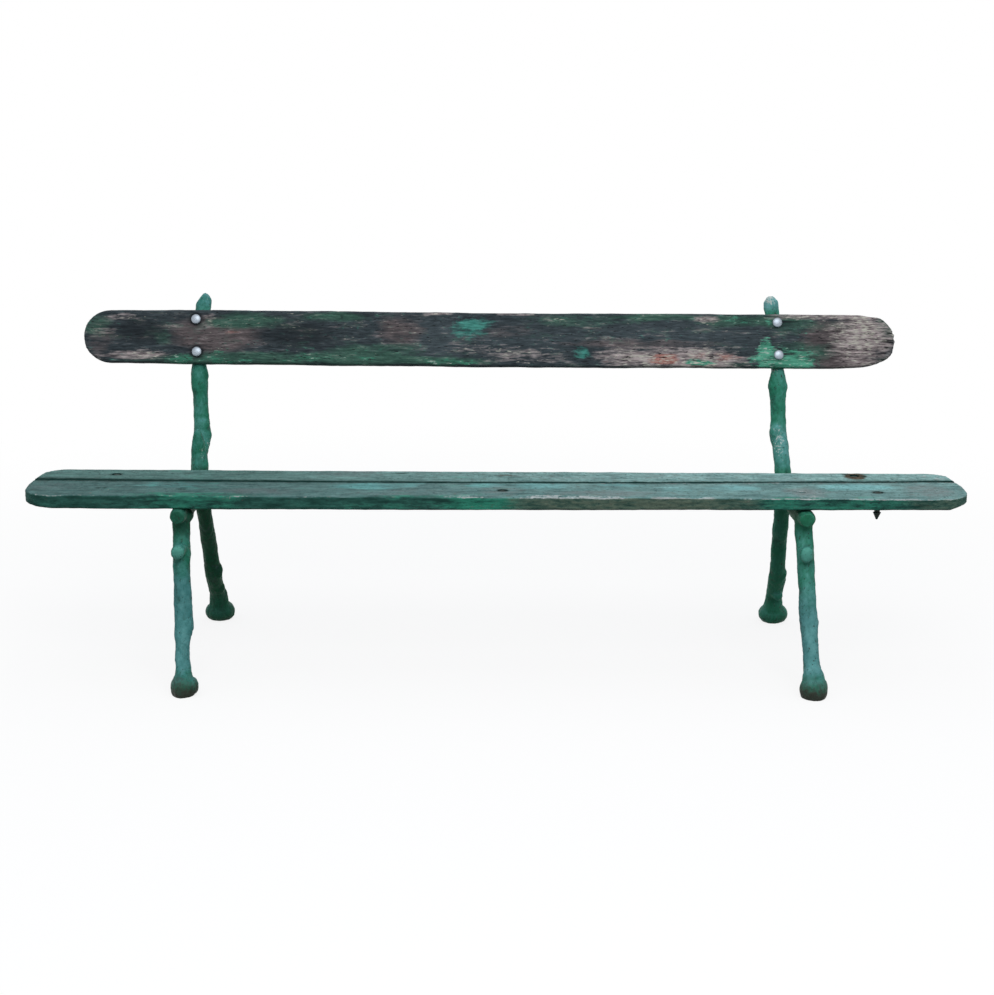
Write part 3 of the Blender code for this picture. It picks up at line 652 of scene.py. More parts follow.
def start_casting(side):
    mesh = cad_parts[f"side_frame_{side}"].data.copy()
    casting = bpy.data.objects.new(f"branch_frame_{side}", mesh)
    bpy.context.scene.collection.objects.link(casting)
    edit(casting, "VERT", lambda co: True)
    bpy.ops.mesh.remove_doubles(threshold=MERGE_WITHIN)
    leave_edit()
    return casting


castings = {side: start_casting(side) for side in SIDES}
print("castings:", [triangles(casting) for casting in castings.values()], "triangles copied")

# %% [markdown]
# ## Sawn shoots and stumps
# A branch is trimmed with a saw, and the pattern maker copied that: a shoot is cut off each front
# leg, and the left upright ends in two slanting cuts. A cube that stands on the plane of the cut
# takes off what is in front of it.

# %% Sawn ends
SHOOT_END = -0.2065
SHOOT_LEVELS = (0.283, 0.335)
LEFT_SHOOT_MOVE = (-0.0025, -0.003, -0.0030)
RIGHT_SHOOT_GROWTH = (0.95, 1, 1.30)
RIGHT_SHOOT_MIDDLE = (0.6785, 0, 0.303)
BLOCK_SIZE = 0.06
# Each cut through the left stump: a point on it, and the way that the cut faces
STUMP_CUTS = (
    ((-0.7005, 0.265, 0.8075), (-0.75, -0.15, 0.65)),
    ((-0.6965, 0.265, 0.8085), (0.72, -0.30, 0.60)),
)


def on_shoot(co):
    """True on the front end of the shoot that was sawn off each front leg."""
    return co.y < SHOOT_END and SHOOT_LEVELS[0] < co.z < SHOOT_LEVELS[1]


edit(castings["left"], "VERT", on_shoot)
bpy.ops.transform.translate(value=LEFT_SHOOT_MOVE)
leave_edit()
edit(castings["right"], "VERT", on_shoot)
bpy.ops.transform.resize(value=RIGHT_SHOOT_GROWTH, center_override=RIGHT_SHOOT_MIDDLE)
leave_edit()
for place, facing in STUMP_CUTS:
    facing = Vector(facing).normalized()
    block_place = Vector(place) + facing * BLOCK_SIZE / 2
    block_turn = facing.to_track_quat("Z", "Y").to_euler()
    bpy.ops.object.select_all(action="DESELECT")
    bpy.ops.mesh.primitive_cube_add(size=BLOCK_SIZE, location=block_place, rotation=block_turn)
    combine(castings["left"], "DIFFERENCE", bpy.context.object)
print("sawn:", triangles(castings["left"]), "triangles in the left casting")

# %% [markdown]
# ## Burls, collars and feet
# Boughs swell where they forked or healed. Each swelling is a flattened ball, joined to the
# casting; the remesh that follows makes one skin of them. Those on an upright or a rear leg are
# placed from the middle of the bough at their level, the others by their own place.

# %% Feet and noses
FRAME_X = {"left": -0.702, "right": 0.678}
FRAME_SWAY = 0.0389
BUN_MIDDLE = 0.017
# Each foot: place along Y, radius, half the height of its bun
FEET = ((-0.285, 0.0315, 0.034), (0.280, 0.0365, 0.027))
# The nose under the seat's front: place to the right of the frame, along Y, level, half sizes
NOSE = (0.003, -0.146, 0.369)
NOSE_LEVEL = 0.37
NOSE_SIZE = (0.025, 0.028, 0.020)


def frame_x(side, level):
    """The frames lean a little sideways, so their place along X depends on the level."""
    return FRAME_X[side] + FRAME_SWAY * (SEAT_TOP - level)


def burl(casting, place, size):
    bpy.ops.object.select_all(action="DESELECT")
    bpy.ops.mesh.primitive_uv_sphere_add(radius=1, location=place)
    bpy.context.object.scale = size
    apply_place(bpy.context.object)
    casting.select_set(True)
    bpy.context.view_layer.objects.active = casting
    bpy.ops.object.join()


for side, casting in castings.items():
    for foot_y, radius, height in FEET:
        burl(casting, (frame_x(side, BUN_MIDDLE), foot_y, BUN_MIDDLE), (radius, radius, height))
    burl(casting, (frame_x(side, NOSE_LEVEL) + NOSE[0], *NOSE[1:]), NOSE_SIZE)
print("castings:", [triangles(casting) for casting in castings.values()], "triangles with feet")

# %% Burls
COLLAR_SIZE = (0.0188, 0.0192, 0.024)
# Each burl on a bough: frame, level, move from the bough's middle, half sizes
BOUGH_BURLS = (
    ("left", 0.499, (0.0015, 0, 0), COLLAR_SIZE),
    ("right", 0.492, (-0.0045, 0, 0), COLLAR_SIZE),
    ("left", 0.440, (-0.0035, 0, -0.020), (0.0185, 0.0180, 0.085)),
    ("left", 0.620, (0.0010, 0, 0), (0.0205, 0.0190, 0.036)),
    ("left", 0.142, (0.009, -0.006, 0), (0.0150, 0.0150, 0.022)),
    ("left", 0.090, (0.006, -0.009, 0), (0.0165, 0.0150, 0.018)),
    ("right", 0.140, (0.009, -0.005, 0), (0.0135, 0.0140, 0.018)),
    ("right", 0.078, (0.004, -0.022, 0), (0.0130, 0.0150, 0.0125)),
)
# Toes and the swollen ends of the shoots: frame, place, half sizes
FRONT_BURLS = (
    ("left", (-0.6600, -0.295, 0.024), (0.012, 0.016, 0.020)),
    ("right", (0.6930, -0.306, 0.022), (0.010, 0.010, 0.022)),
    ("right", (0.6925, -0.279, 0.040), (0.0245, 0.0245, 0.036)),
    ("left", (-0.6990, -0.2135, 0.3005), (0.0150, 0.0085, 0.0150)),
    ("right", (0.6785, -0.2130, 0.3030), (0.0152, 0.0090, 0.0190)),
)


def bough_middle(casting, level, band=0.012, behind=0.08):
    """The middle of the upright or the rear leg in a band round a level."""
    points = points_of(casting)
    ring = points[(np.abs(points[:, 2] - level) < band) & (points[:, 1] > behind)]
    return (ring.min(axis=0) + ring.max(axis=0)) / 2


for side, level, move, size in BOUGH_BURLS:
    burl(castings[side], tuple(bough_middle(castings[side], level) + move), size)
for side, place, size in FRONT_BURLS:
    burl(castings[side], place, size)
print("castings:", [triangles(casting) for casting in castings.values()], "triangles before the remesh")

# %% [markdown]
# ## The casting's skin
# A voxel remesh makes one skin over the copied mesh, the bun feet and the burls, and smoothing
# makes the joints look poured. A push gives the front legs a waist above the foot. Then three
# sizes of clouds give the lumps, the bark and the grit of a sand casting.

# %% Casting skin
IRON_CELL = 0.0020
POURED_ROUNDS = 8
LEG_FRONT = -0.2
WAIST = {"left": 0.0035, "right": 0.0010}
WAIST_LEVEL = 0.085
WAIST_SPREAD = 0.030
SLIM_FOOT = 0.0060
SLIM_OUTER = (-0.686, -0.715)
SLIM_LEVELS = (0.08, 0.05)

plain = {}
for side, casting in castings.items():
    even_cells(casting, IRON_CELL)
    smooth = casting.modifiers.new("poured joints", "SMOOTH")
    smooth.factor = 0.5
    smooth.iterations = POURED_ROUNDS
    apply_modifier(casting, smooth)
    beside, behind, level = points_of(casting).T
    waist = WAIST[side] * (behind < LEG_FRONT) * bell(level, WAIST_LEVEL, WAIST_SPREAD)
    push(casting, "waist", "NORMAL", -waist)
    if side == "left":
        outer = ramp(beside, *SLIM_OUTER) * ramp(level, *SLIM_LEVELS) * (behind < LEG_FRONT)
        push(casting, "slim foot", "X", SLIM_FOOT * outer)
    plain[side] = points_of(casting)
    carve(casting, "lumps", (0.034, 0.034, 0.050), 0.0055)
    carve(casting, "bark", (0.010, 0.010, 0.018), 0.0022)
    carve(casting, "grit", (0.0045, 0.0045, 0.0045), 0.0007, detail=1)
    store_relief(casting, plain[side])

# %% [markdown]
# ## Where the iron's paint differs
# The seat's shade is painted in: the paint is darkest under the seat, in the crotches and low on
# the left upright. The right frame is painted lighter, most at the top of its upright, as light from
# the right. The front legs and all that faces the sky are bluish from a painted sky reflection and
# chalky paint, and the paint is chipped in a few places. Five more numbers on the points tell the
# material: painted shade, painted light, sky sheen and chalk, a sawn end's painted light, and chips.

# %% Iron zone limits
# Each pair: where a zone begins and where it is full, as a level or as a place along Y
UNDER_SEAT = (0.43, 0.39)
BEHIND_LEG = (-0.19, -0.10)
ABOVE_FLOOR = (0.02, 0.10)
CROTCH_FROM = {"left": (0.305, 0.350), "right": (0.325, 0.370)}
CROTCH_TO = (0.43, 0.40)
CROTCH_BACK = (-0.175, -0.150)
LOW_UPRIGHT_FROM = (0.41, 0.43)
LOW_UPRIGHT_TO = (0.53, 0.48)
STUMP = (0.77, 0.79)
LEG_FROM = (-0.14, -0.18)
LEG_BLUISH = {"left": (0.30, 0.20), "right": (0.26, 0.14)}
LEG_FOOT = (0.02, 0.09)
SAWN_BEFORE = -0.209
SAWN_LEVELS = (0.275, 0.340)
SAWN_FACING = (0.3, 0.8)
# How strong each zone is on the two frames
PAINTED_SHADE_SIDE = {"left": 1.0, "right": 0.55}
LOW_UPRIGHT_SHADE = {"left": 0.12, "right": 0.0}
PAINTED_LIGHT_SIDE = {"left": 0.0, "right": 0.2}
BLUE_UPRIGHT = {"left": 0.1, "right": 0.4}
BLUE_STUMP = {"left": 0.4, "right": 0.8}
BLUE_UPWARD = 0.5
STUMP_PAINTED_LIGHT = 2
LEAST_SHADE = 0.7
LEG_NUB = (0.6920, 0.078, 0.015, 0.015, 0.85)
NUB_BEHIND = 0.2
NUB_FACING = -0.2
CHIP_FACING = 0.3
CHIPS = {
    "left": ((-0.695, 0.800, 0.010, 0.010, 0.3), (-0.690, 0.455, 0.014, 0.025, 0.3)),
    "right": ((0.651, 0.806, 0.018, 0.016, 0.6), (0.669, 0.480, 0.018, 0.040, 0.42),
              (0.658, 0.647, 0.014, 0.014, 0.6)),
}
print("chips:", {side: len(chips) for side, chips in CHIPS.items()})

# %% Iron zones
for side, casting in castings.items():
    beside, behind, level = plain[side].T
    _, facing_back, facing_up = normals_of(casting).T
    low_upright = ramp(level, *LOW_UPRIGHT_FROM) * ramp(level, *LOW_UPRIGHT_TO)
    stump = ramp(level, *STUMP)
    # Painted shade under the seat, in the crotch and low on the left upright
    under_seat = ramp(level, *UNDER_SEAT) * ramp(behind, *BEHIND_LEG)
    under_seat *= PAINTED_SHADE_SIDE[side] * (LEAST_SHADE + (1 - LEAST_SHADE) * ramp(level, *ABOVE_FLOOR))
    crotch = ramp(level, *CROTCH_FROM[side]) * ramp(level, *CROTCH_TO)
    crotch *= LEAST_SHADE + (1 - LEAST_SHADE) * ramp(behind, *CROTCH_BACK)
    # A nub on the right rear leg faces forward and is kept out of the painted shade
    nub = patches(beside, level, [LEG_NUB]) * (behind > NUB_BEHIND) * (facing_back < NUB_FACING)
    painted_shade = np.maximum.reduce((under_seat, crotch, LOW_UPRIGHT_SHADE[side] * low_upright))
    store(casting, "painted_shade", painted_shade * (1 - nub))
    # Painted light: the right frame lighter, most at the top of its upright
    store(casting, "painted_light", PAINTED_LIGHT_SIDE[side] * (1 + STUMP_PAINTED_LIGHT * stump))
    # Bluish from a painted sky reflection and chalky paint: front legs, low uprights, stumps and all that
    # faces up
    leg = ramp(behind, *LEG_FROM) * ramp(level, *LEG_BLUISH[side]) * ramp(level, *LEG_FOOT)
    sky_sheen_and_chalk = np.maximum.reduce((leg, BLUE_UPRIGHT[side] * low_upright, BLUE_STUMP[side] * stump))
    store(casting, "sky_sheen_and_chalk", sky_sheen_and_chalk + BLUE_UPWARD * np.clip(facing_up, 0, 1))
    # Painted light on the forward face of each sawn shoot end
    shoot_end = (behind < SAWN_BEFORE) & (level > SAWN_LEVELS[0]) & (level < SAWN_LEVELS[1])
    store(casting, "sawn", shoot_end * rising(-facing_back, *SAWN_FACING))
    store(casting, "chipped", patches(beside, level, CHIPS[side]) * (facing_back < CHIP_FACING))
    print(casting.name, "sheltered points:", int((painted_shade > 0.5).sum()))

# %% [markdown]
# ## Flat soles
# The carving has pushed some points of the feet below the floor. They are pressed flat onto it.

# %% Soles
for casting in castings.values():
    edit(casting, "VERT", lambda co: co.z < 0)
    bpy.ops.transform.resize(value=(1, 1, 0), center_override=(0, 0, 0))
    leave_edit()
    print(casting.name, triangles(casting), "triangles")

# %% [markdown]
# ## Turned hardware
# A bolt, a washer and a screw are all made as on a lathe. A disc is added, and each step of a
# profile extrudes it a little and resizes it. The first point of a profile is the top.

# %% Turning helper
ROUND_SIDES = 32
SMOOTH_UNDER = math.radians(40)


def turned(name, profile, sides=ROUND_SIDES):
    radius, height = profile[0]
    bpy.ops.object.select_all(action="DESELECT")
    bpy.ops.mesh.primitive_circle_add(vertices=sides, radius=radius, fill_type="NGON")
    piece = bpy.context.object
    piece.name = name
    piece.location.z = height
    apply_place(piece)
    edit(piece, "FACE", lambda co: True)
    for (radius, height), (next_radius, next_height) in zip(profile, profile[1:]):
        bpy.ops.mesh.extrude_region_move(TRANSFORM_OT_translate={"value": (0, 0, next_height - height)})
        grow = next_radius / radius
        bpy.ops.transform.resize(value=(grow, grow, 1), center_override=(0, 0, next_height))
    bpy.ops.mesh.select_all(action="SELECT")
    bpy.ops.mesh.normals_make_consistent(inside=False)
    leave_edit()
    bpy.ops.object.shade_smooth_by_angle(angle=SMOOTH_UNDER)
    return piece

# %% [markdown]
# ## Reading the CAD's fasteners
# A fastener's length is how far its CAD node reaches along its axis. The middle of the node's
# upper end is a point on the axis, and each copy is later set there.

# %% Fastener measures
UPRIGHT = (0, 0, 1)
SAME_HEIGHT = 1e-5


def node_points(cad_node, axis):
    """A CAD node's different points, and how far along an axis each lies."""
    corners = [vertex.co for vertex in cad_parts[cad_node].data.vertices]
    points = np.unique(np.round(corners, 6), axis=0)
    return points, points @ np.array(axis)


def reach(cad_node, axis):
    return np.ptp(node_points(cad_node, axis)[1])


def top_middle(cad_node, axis):
    points, heights = node_points(cad_node, axis)
    return Vector(points[heights > heights.max() - SAME_HEIGHT].mean(axis=0))


print("coach screw, mm:", round(MILLIMETRES * reach("coach_screw", UPRIGHT), 1))

# %% [markdown]
# ## Bolts and washers
# The backrest has dome-headed carriage bolts, the seat smaller ones. A thread is drawn as rings
# down the shank, which at this pitch can't be told from a true thread. The strap bolts end a
# little higher than in the CAD, so that the worn front edge still hides them.

# %% Bolts and washer
BOLT_RADIUS = 0.005
BACK_HEAD = (0.0117, 0.0054)
SEAT_HEAD = (0.010, 0.0042)
HEAD_RIM = 0.0012
HEAD_TOP_SHARE = 0.08
DOME_STEPS = 6
THREAD_LENGTH = 0.018
THREAD_PITCH = 0.0015
THREAD_DEPTH = 0.0007
HIDDEN_END = 0.0055
WASHER = ((0.0056, 0), (0.0104, 0), (0.011, -0.0006), (0.011, -0.002), (0.0056, -0.002))


def dome(radius, height):
    """The profile of a domed head from its top down to the rim's lower edge."""
    arc = []
    for step in range(1, DOME_STEPS + 1):
        angle = step / DOME_STEPS * math.pi / 2
        arc.append((radius * math.sin(angle), (height - HEAD_RIM) * (math.cos(angle) - 1)))
    return [(radius * HEAD_TOP_SHARE, 0), *arc, (radius, -height)]


def thread(start, end):
    rings = []
    for turn_number in range(int((start - end) / THREAD_PITCH)):
        top = start - turn_number * THREAD_PITCH
        rings += [(BOLT_RADIUS, top), (BOLT_RADIUS - THREAD_DEPTH, top - THREAD_PITCH / 2)]
    return [*rings, (BOLT_RADIUS - THREAD_DEPTH, end)]


def bolt(name, head, length):
    """The length runs from the top of the head to the end of the thread."""
    neck = (BOLT_RADIUS, -head[1])
    return turned(name, [*dome(*head), neck, *thread(THREAD_LENGTH - length, -length)])


back_bolt = bolt("back_bolt", BACK_HEAD, reach("backrest_left_upper_bolt", BOLT_AXIS))
frame_bolt = bolt("frame_bolt", SEAT_HEAD, reach("seat_left_front_bolt", UPRIGHT))
strap_bolt = bolt("strap_bolt", SEAT_HEAD, reach("strap_left_front_bolt", UPRIGHT) - HIDDEN_END)
washer = turned("washer", WASHER)
bolts = (back_bolt, frame_bolt, strap_bolt)
print("bolts, mm:", [round(MILLIMETRES * made.dimensions.z, 1) for made in bolts])

# %% [markdown]
# ## The coach screw
# One fastener ends below the seat in a ridged point, so it is a screw and not a bolt. The point
# is a cone in four steps, each narrower at its lower end, as the turns of a wood thread are.

# %% Coach screw
SHANK_RADIUS = 0.00625
CONE_RADIUS = 0.0092
CONE_TIP = 0.0015
CONE_HEIGHT = 0.016
CONE_RIDGES = 4
RIDGE_WAIST = 0.82
RIDGE_SHARE = 0.6

screw_end = -reach("coach_screw", UPRIGHT)
cone = []
for ridge in range(CONE_RIDGES):
    share = ridge / CONE_RIDGES
    radius = CONE_RADIUS + share * (CONE_TIP - CONE_RADIUS)
    height = screw_end + CONE_HEIGHT * (1 - share)
    cone += [(radius, height), (radius * RIDGE_WAIST, height - CONE_HEIGHT / CONE_RIDGES * RIDGE_SHARE)]
shank = [(SHANK_RADIUS, -SEAT_HEAD[1]), (SHANK_RADIUS, screw_end + CONE_HEIGHT)]
coach_screw = turned("screw", [*dome(*SEAT_HEAD), *shank, *cone, (CONE_TIP, screw_end)])
print("coach screw:", triangles(coach_screw), "triangles")

# %% [markdown]
# ## A nut
# A hexagon bar is turned to a blunt cone at both ends, which leaves the curved shoulders that
# every nut has. Here a six-sided disc is extruded, and a Boolean keeps what it shares with a
# turned blank. The nuts on the straps are thin ones, for the same reason as their short bolts.

# %% Nuts
NUT_FLAT = 0.008
NUT_CORNER = NUT_FLAT / math.cos(math.pi / 6)
NUT_FACE = 0.0076
NUT_SHOULDER = 0.0012
NUT_HEIGHT = 0.008
STRAP_NUT_HEIGHT = 0.0055
BLANK_SIDES = 48
NUT_SMOOTH_UNDER = math.radians(30)


def hexagon_nut(name, height):
    made = turned(name, [(NUT_CORNER, 0), (NUT_CORNER, -height)], sides=6)
    shoulders = [(NUT_CORNER, -NUT_SHOULDER), (NUT_CORNER, NUT_SHOULDER - height)]
    blank = turned("nut_blank", [(NUT_FACE, 0), *shoulders, (NUT_FACE, -height)], BLANK_SIDES)
    combine(made, "INTERSECT", blank)
    bpy.ops.object.shade_smooth_by_angle(angle=NUT_SMOOTH_UNDER)
    return made


nut = hexagon_nut("nut", NUT_HEIGHT)
strap_nut = hexagon_nut("strap_nut", STRAP_NUT_HEIGHT)
print("nuts:", triangles(nut), triangles(strap_nut), "triangles")

# %% [markdown]
# ## Sinking the seat bolts
# Six heads in the seat lie a little below the surface in drilled recesses, and the other four are
# filled over with paint. Each recess is cut with a short cylinder, after the carving, so that its
# rim stays round.

# %% Recesses
RECESS_RADIUS = 0.011
DEEP = 0.0057
SHALLOW = 0.0013
RECESSES = {
    front_board: {"seat_left_front_bolt": SHALLOW, "seat_right_front_bolt": SHALLOW,
                  "strap_middle_front_bolt": DEEP, "coach_screw": DEEP},
    rear_board: {"strap_left_rear_bolt": DEEP, "strap_right_rear_bolt": DEEP},
}
for board, heads in RECESSES.items():
    for head, depth in heads.items():
        middle = top_middle(head, UPRIGHT)
        place = (middle.x, middle.y, SEAT_TOP)
        bpy.ops.object.select_all(action="DESELECT")
        bpy.ops.mesh.primitive_cylinder_add(radius=RECESS_RADIUS, depth=2 * depth, location=place)
        combine(board, "DIFFERENCE", bpy.context.object)
    print(board.name, len(heads), "recesses,", triangles(board), "triangles")

# %% [markdown]
# ## Nodes for materials
# Every material here is a net of nodes. One small function adds a node, sets it, and links or
# fills its inputs, so that a material reads like a list of steps. Colours are written as they
# look on a screen and turned into the linear light that shaders work with.

# %% Node helper
def colour(code):
    """A screen colour such as #2f7a68 as linear light, with full opacity."""
    shares = [int(code[place:place + 2], 16) / 255 for place in (1, 3, 5)]
    linear = [share / 12.92 if share <= 0.04045 else ((share + 0.055) / 1.055) ** 2.4 for share in shares]
    return (*linear, 1)


def fill(tree, sockets, values):
    """Links or sets inputs; a text is a screen colour."""
    for name, value in values.items():
        if isinstance(value, bpy.types.NodeSocket):
            tree.links.new(value, sockets[name])
        else:
            sockets[name].default_value = colour(value) if isinstance(value, str) else value


def node(tree, kind, inputs=None, out=0, **settings):
    made = tree.nodes.new(f"ShaderNode{kind}")
    for name, value in settings.items():
        setattr(made, name, value)
    fill(tree, made.inputs, inputs or {})
    return made.outputs[out]


def start_material(name):
    material = bpy.data.materials.new(name)
    material.use_nodes = True
    return material, material.node_tree, material.node_tree.nodes["Principled BSDF"].inputs

# %% [markdown]
# ## Patterns, zones and coats
# Old paint is read in layers. A cloud pattern, stretched along the grain, varies one layer. A zone
# is a number stored on the points; with a pattern added it gets a ragged edge and becomes a mask.
# A coat is laid through its mask over what is there, in one colour, or in two that a pattern mixes.

# %% Layer helpers
# The mask of a coat that covers all
ALL = None
# The mix node's inputs: share of the second colour, first colour, second colour
MIX_INPUTS = (0, 6, 7)
COLOUR_MIX = {"out": 2, "data_type": "RGBA"}


def cloud_pattern(tree, place, size, detail, roughness, low=0.30, high=0.70):
    """Clouds of a size in millimetres along X, Y and Z, stretched to run from 0 to 1."""
    scaled = node(tree, "Mapping", {"Vector": place, "Scale": [MILLIMETRES / side for side in size]})
    settings = {"Vector": scaled, "Scale": 1, "Detail": detail, "Roughness": roughness}
    values = node(tree, "TexNoise", settings)
    return node(tree, "MapRange", {"Value": values, "From Min": low, "From Max": high})


def ragged_zone(tree, name, start, end, *breaks):
    """A zone's number with patterns added, as a mask from 0 at the start value to 1 at the end."""
    value = node(tree, "Attribute", out="Fac", attribute_name=name)
    for pattern, amount in breaks:
        value = node(tree, "Math", {0: pattern, 1: amount, 2: value}, operation="MULTIPLY_ADD")
    return node(tree, "MapRange", {"Value": value, "From Min": start, "From Max": end})


def laid(tree, *coats):
    """Coats laid on each other: each a mask and a colour, or a mask, a pattern and two colours."""
    surface = None
    for mask, *tones in coats:
        tone = tones[0]
        if len(tones) > 1:
            tone = node(tree, "Mix", dict(zip(MIX_INPUTS, tones)), **COLOUR_MIX)
        if mask is ALL:
            surface = tone
        else:
            surface = node(tree, "Mix", dict(zip(MIX_INPUTS, (mask, surface, tone))), **COLOUR_MIX)
    return surface

# %% [markdown]
# ## Bare wood with paint left on it
# Weathered softwood: the sun has turned it grey, rain has blackened it, and the last of the
# green oil paint clings to it in flakes. It gives the eye long dark and pale streaks, a few
# millimetres wide, with no gloss except on the paint. Growth rings are 2 to 4 mm wide in such a
# board; single fibres are too fine for the picture, so they are drawn about as wide as a ring.

# %% Weathered wood
weathered, tree, shader = start_material("weathered softwood with paint left")
place = node(tree, "TexCoord", out="Object")
blotches = cloud_pattern(tree, place, (70, 22, 22), 5, 0.6)
streaks = cloud_pattern(tree, place, (55, 7, 7), 4, 0.58)
fibres = cloud_pattern(tree, place, (20, 4.2, 4.2), 3, 0.5)
flakes = cloud_pattern(tree, place, (18, 7, 7), 6, 0.7)
dashes = cloud_pattern(tree, place, (14, 2.6, 2.6), 2, 0.5, 0, 1)
print("wood patterns:", len(tree.nodes), "nodes")

# %% Wood masks
# Charcoal, brown, mossy and bleached wood, from dark to light grain lines
grain = node(tree, "Math", {0: streaks, 1: fibres}, operation="MULTIPLY")
grain = node(tree, "Math", {0: blotches, 1: 0.35, 2: grain}, operation="MULTIPLY_ADD")
greyed = node(tree, "Attribute", out="Fac", attribute_name="greyed")
grain = node(tree, "Math", {0: greyed, 1: 0.3, 2: grain}, operation="MULTIPLY_ADD")
brown = ragged_zone(tree, "browned", 0.70, 1.50, (blotches, 0.7), (streaks, 0.5))
moss = ragged_zone(tree, "mossy", 0.75, 1.55, (blotches, 0.8), (flakes, 0.5))
pale = ragged_zone(tree, "bleached", 1.05, 1.85, (streaks, 0.7), (fibres, 0.4), (blotches, 0.5))

# Red primer, the green coat, paler to the right from painted light and sun-fading, with its white flecks,
# and the turquoise one
primed = ragged_zone(tree, "primer", 1.10, 1.65, (streaks, 0.6), (flakes, 0.7))
painted = ragged_zone(tree, "paint", 1.47, 1.88, (flakes, 1.1), (streaks, 0.7))
east = node(tree, "SeparateXYZ", {0: place}, out="X")
painted_light_and_sun = node(tree, "MapRange", {"Value": east, "From Min": 0.0, "From Max": 0.7})
green = laid(tree, (ALL, streaks, "#1d5040", "#428a70"), (painted_light_and_sun, streaks, "#27705a", "#62b497"))
fleck = node(tree, "MapRange", {"Value": dashes, "From Min": 0.60, "From Max": 0.68})
fleck = node(tree, "Math", {0: fleck, 1: painted}, operation="MULTIPLY")
blue = ragged_zone(tree, "turquoise", 1.35, 2.30, (flakes, 1.4), (streaks, 0.5))

# Pale dashes where a fibre stands up, dark ones where it is split, cracks, and darker hollows
splinter = ragged_zone(tree, "bleached", 4.00, 4.70, (dashes, 5.0), (blotches, 0.9))
split = node(tree, "MapRange", {"Value": dashes, "From Min": 0.36, "From Max": 0.30})
crack = ragged_zone(tree, "cracked", 0.10, 0.45, (streaks, -1.2), (fibres, -0.8))
sunk = ragged_zone(tree, "relief", -0.0006, -0.0017)
grime_and_shade = ragged_zone(tree, "grime_and_shade", 0, 1)
print("wood masks:", len(tree.nodes), "nodes")

# %% Wood coats
wood = laid(
    tree,
    (ALL, grain, "#21292e", "#525d62"),
    (brown, grain, "#443e3f", "#7b7172"),
    (moss, grain, "#24423a", "#557a6b"),
    (pale, fibres, "#7b6e6f", "#bcafae"),
    (primed, fibres, "#7f524a", "#c08a80"),
    (painted, green),
    (fleck, "#b4c6bc"),
    (blue, fibres, "#2c665f", "#57a497"),
    (splinter, "#c3c1b4"),
    (split, "#15191c"),
    (crack, "#1b1a1b"),
    (sunk, "#1d2428"),
    (grime_and_shade, "#14191e"),
)
gloss = node(tree, "MapRange", {"Value": painted, "To Min": 0.90, "To Max": 0.60})
height = node(tree, "Math", {0: painted, 1: 0.4, 2: fibres}, operation="MULTIPLY_ADD")
bump = node(tree, "Bump", {"Height": height, "Strength": 0.7, "Distance": 0.0010})
fill(tree, shader, {"Base Color": wood, "Roughness": gloss, "Normal": bump})
fill(tree, shader, {"IOR": 1.45, "Specular IOR Level": 0.25})
print("material:", weathered.name, len(tree.nodes), "nodes")

# %% [markdown]
# ## Where the seat is worn
# The seat still has its paint: a blue-green oil paint gone chalky, rubbed through to greyish
# primer where people sat, fresher and more turquoise between. The front edge has lost its paint
# along the rim, where a painted highlight also runs, and the front face, out of the rain, is a deeper
# green. Painted shade and dirt darken the gap and round the sunk heads, and rust runs from some
# of them. Again these are patches placed one by one.

# %% Seat patches
# Each patch: place along the seat, place along Y, half length, half width, amount
RUBBED = (
    (-0.99, -0.10, 0.05, 0.05, 0.5), (-0.53, -0.13, 0.09, 0.03, 0.8), (-0.19, -0.14, 0.10, 0.03, 0.5),
    (0.01, -0.12, 0.05, 0.05, 0.6), (0.24, -0.14, 0.14, 0.03, 0.8), (0.69, -0.12, 0.05, 0.05, 0.9),
    (0.97, -0.10, 0.06, 0.07, 0.8), (-0.35, 0.05, 0.08, 0.04, 0.6), (0.05, 0.03, 0.30, 0.06, 0.2),
    (0.60, 0.03, 0.50, 0.06, 0.25),
)
FRESH = (
    (-0.75, -0.080, 0.120, 0.040, 0.45), (-0.29, -0.080, 0.080, 0.035, 0.95),
    (-0.18, -0.065, 0.035, 0.030, 0.55), (-0.03, -0.065, 0.050, 0.030, 0.75),
    (0.10, -0.070, 0.080, 0.035, 0.80), (0.28, -0.055, 0.060, 0.020, 0.70),
    (0.40, -0.090, 0.060, 0.040, 0.45), (0.53, -0.080, 0.065, 0.040, 0.75),
    (0.81, -0.065, 0.090, 0.035, 1.15),
)
# Pale patches on the top near its edges: worn paint and a painted highlight
TOP_WEAR_AND_HIGHLIGHT = (
    (-0.07, -0.175, 0.060, 0.012, 0.70), (0.105, -0.174, 0.060, 0.016, 1.00),
    (0.200, -0.174, 0.040, 0.014, 1.00), (0.255, -0.176, 0.025, 0.012, 0.95),
    (0.370, -0.178, 0.030, 0.012, 0.95), (0.460, -0.178, 0.022, 0.010, 0.95),
    (0.690, -0.165, 0.035, 0.025, 0.65), (0.985, 0.055, 0.030, 0.012, 0.85),
    (1.022, 0.030, 0.015, 0.018, 0.85), (1.042, -0.010, 0.010, 0.022, 0.75),
)
OVER_EDGE = (
    (-0.66, -0.172, 0.150, 0.020, 0.6), (-0.20, -0.178, 0.120, 0.010, 0.5),
    (0.66, -0.178, 0.060, 0.012, 0.5),
)
RUST_MARKS = (ROT, (0.012, 0.035, 0.030, 0.012, 0.45), (-0.710, -0.085, 0.020, 0.008, 0.25))
DARK_MARKS = (
    (-0.220, 0.053, 0.016, 0.005, 0.8), (-0.888, -0.112, 0.006, 0.006, 0.8),
    (-0.874, -0.112, 0.007, 0.006, 0.7), (-0.700, -0.105, 0.010, 0.005, 0.6),
    (0.812, 0.066, 0.012, 0.004, 0.8), (0.852, 0.044, 0.008, 0.006, 0.8),
)
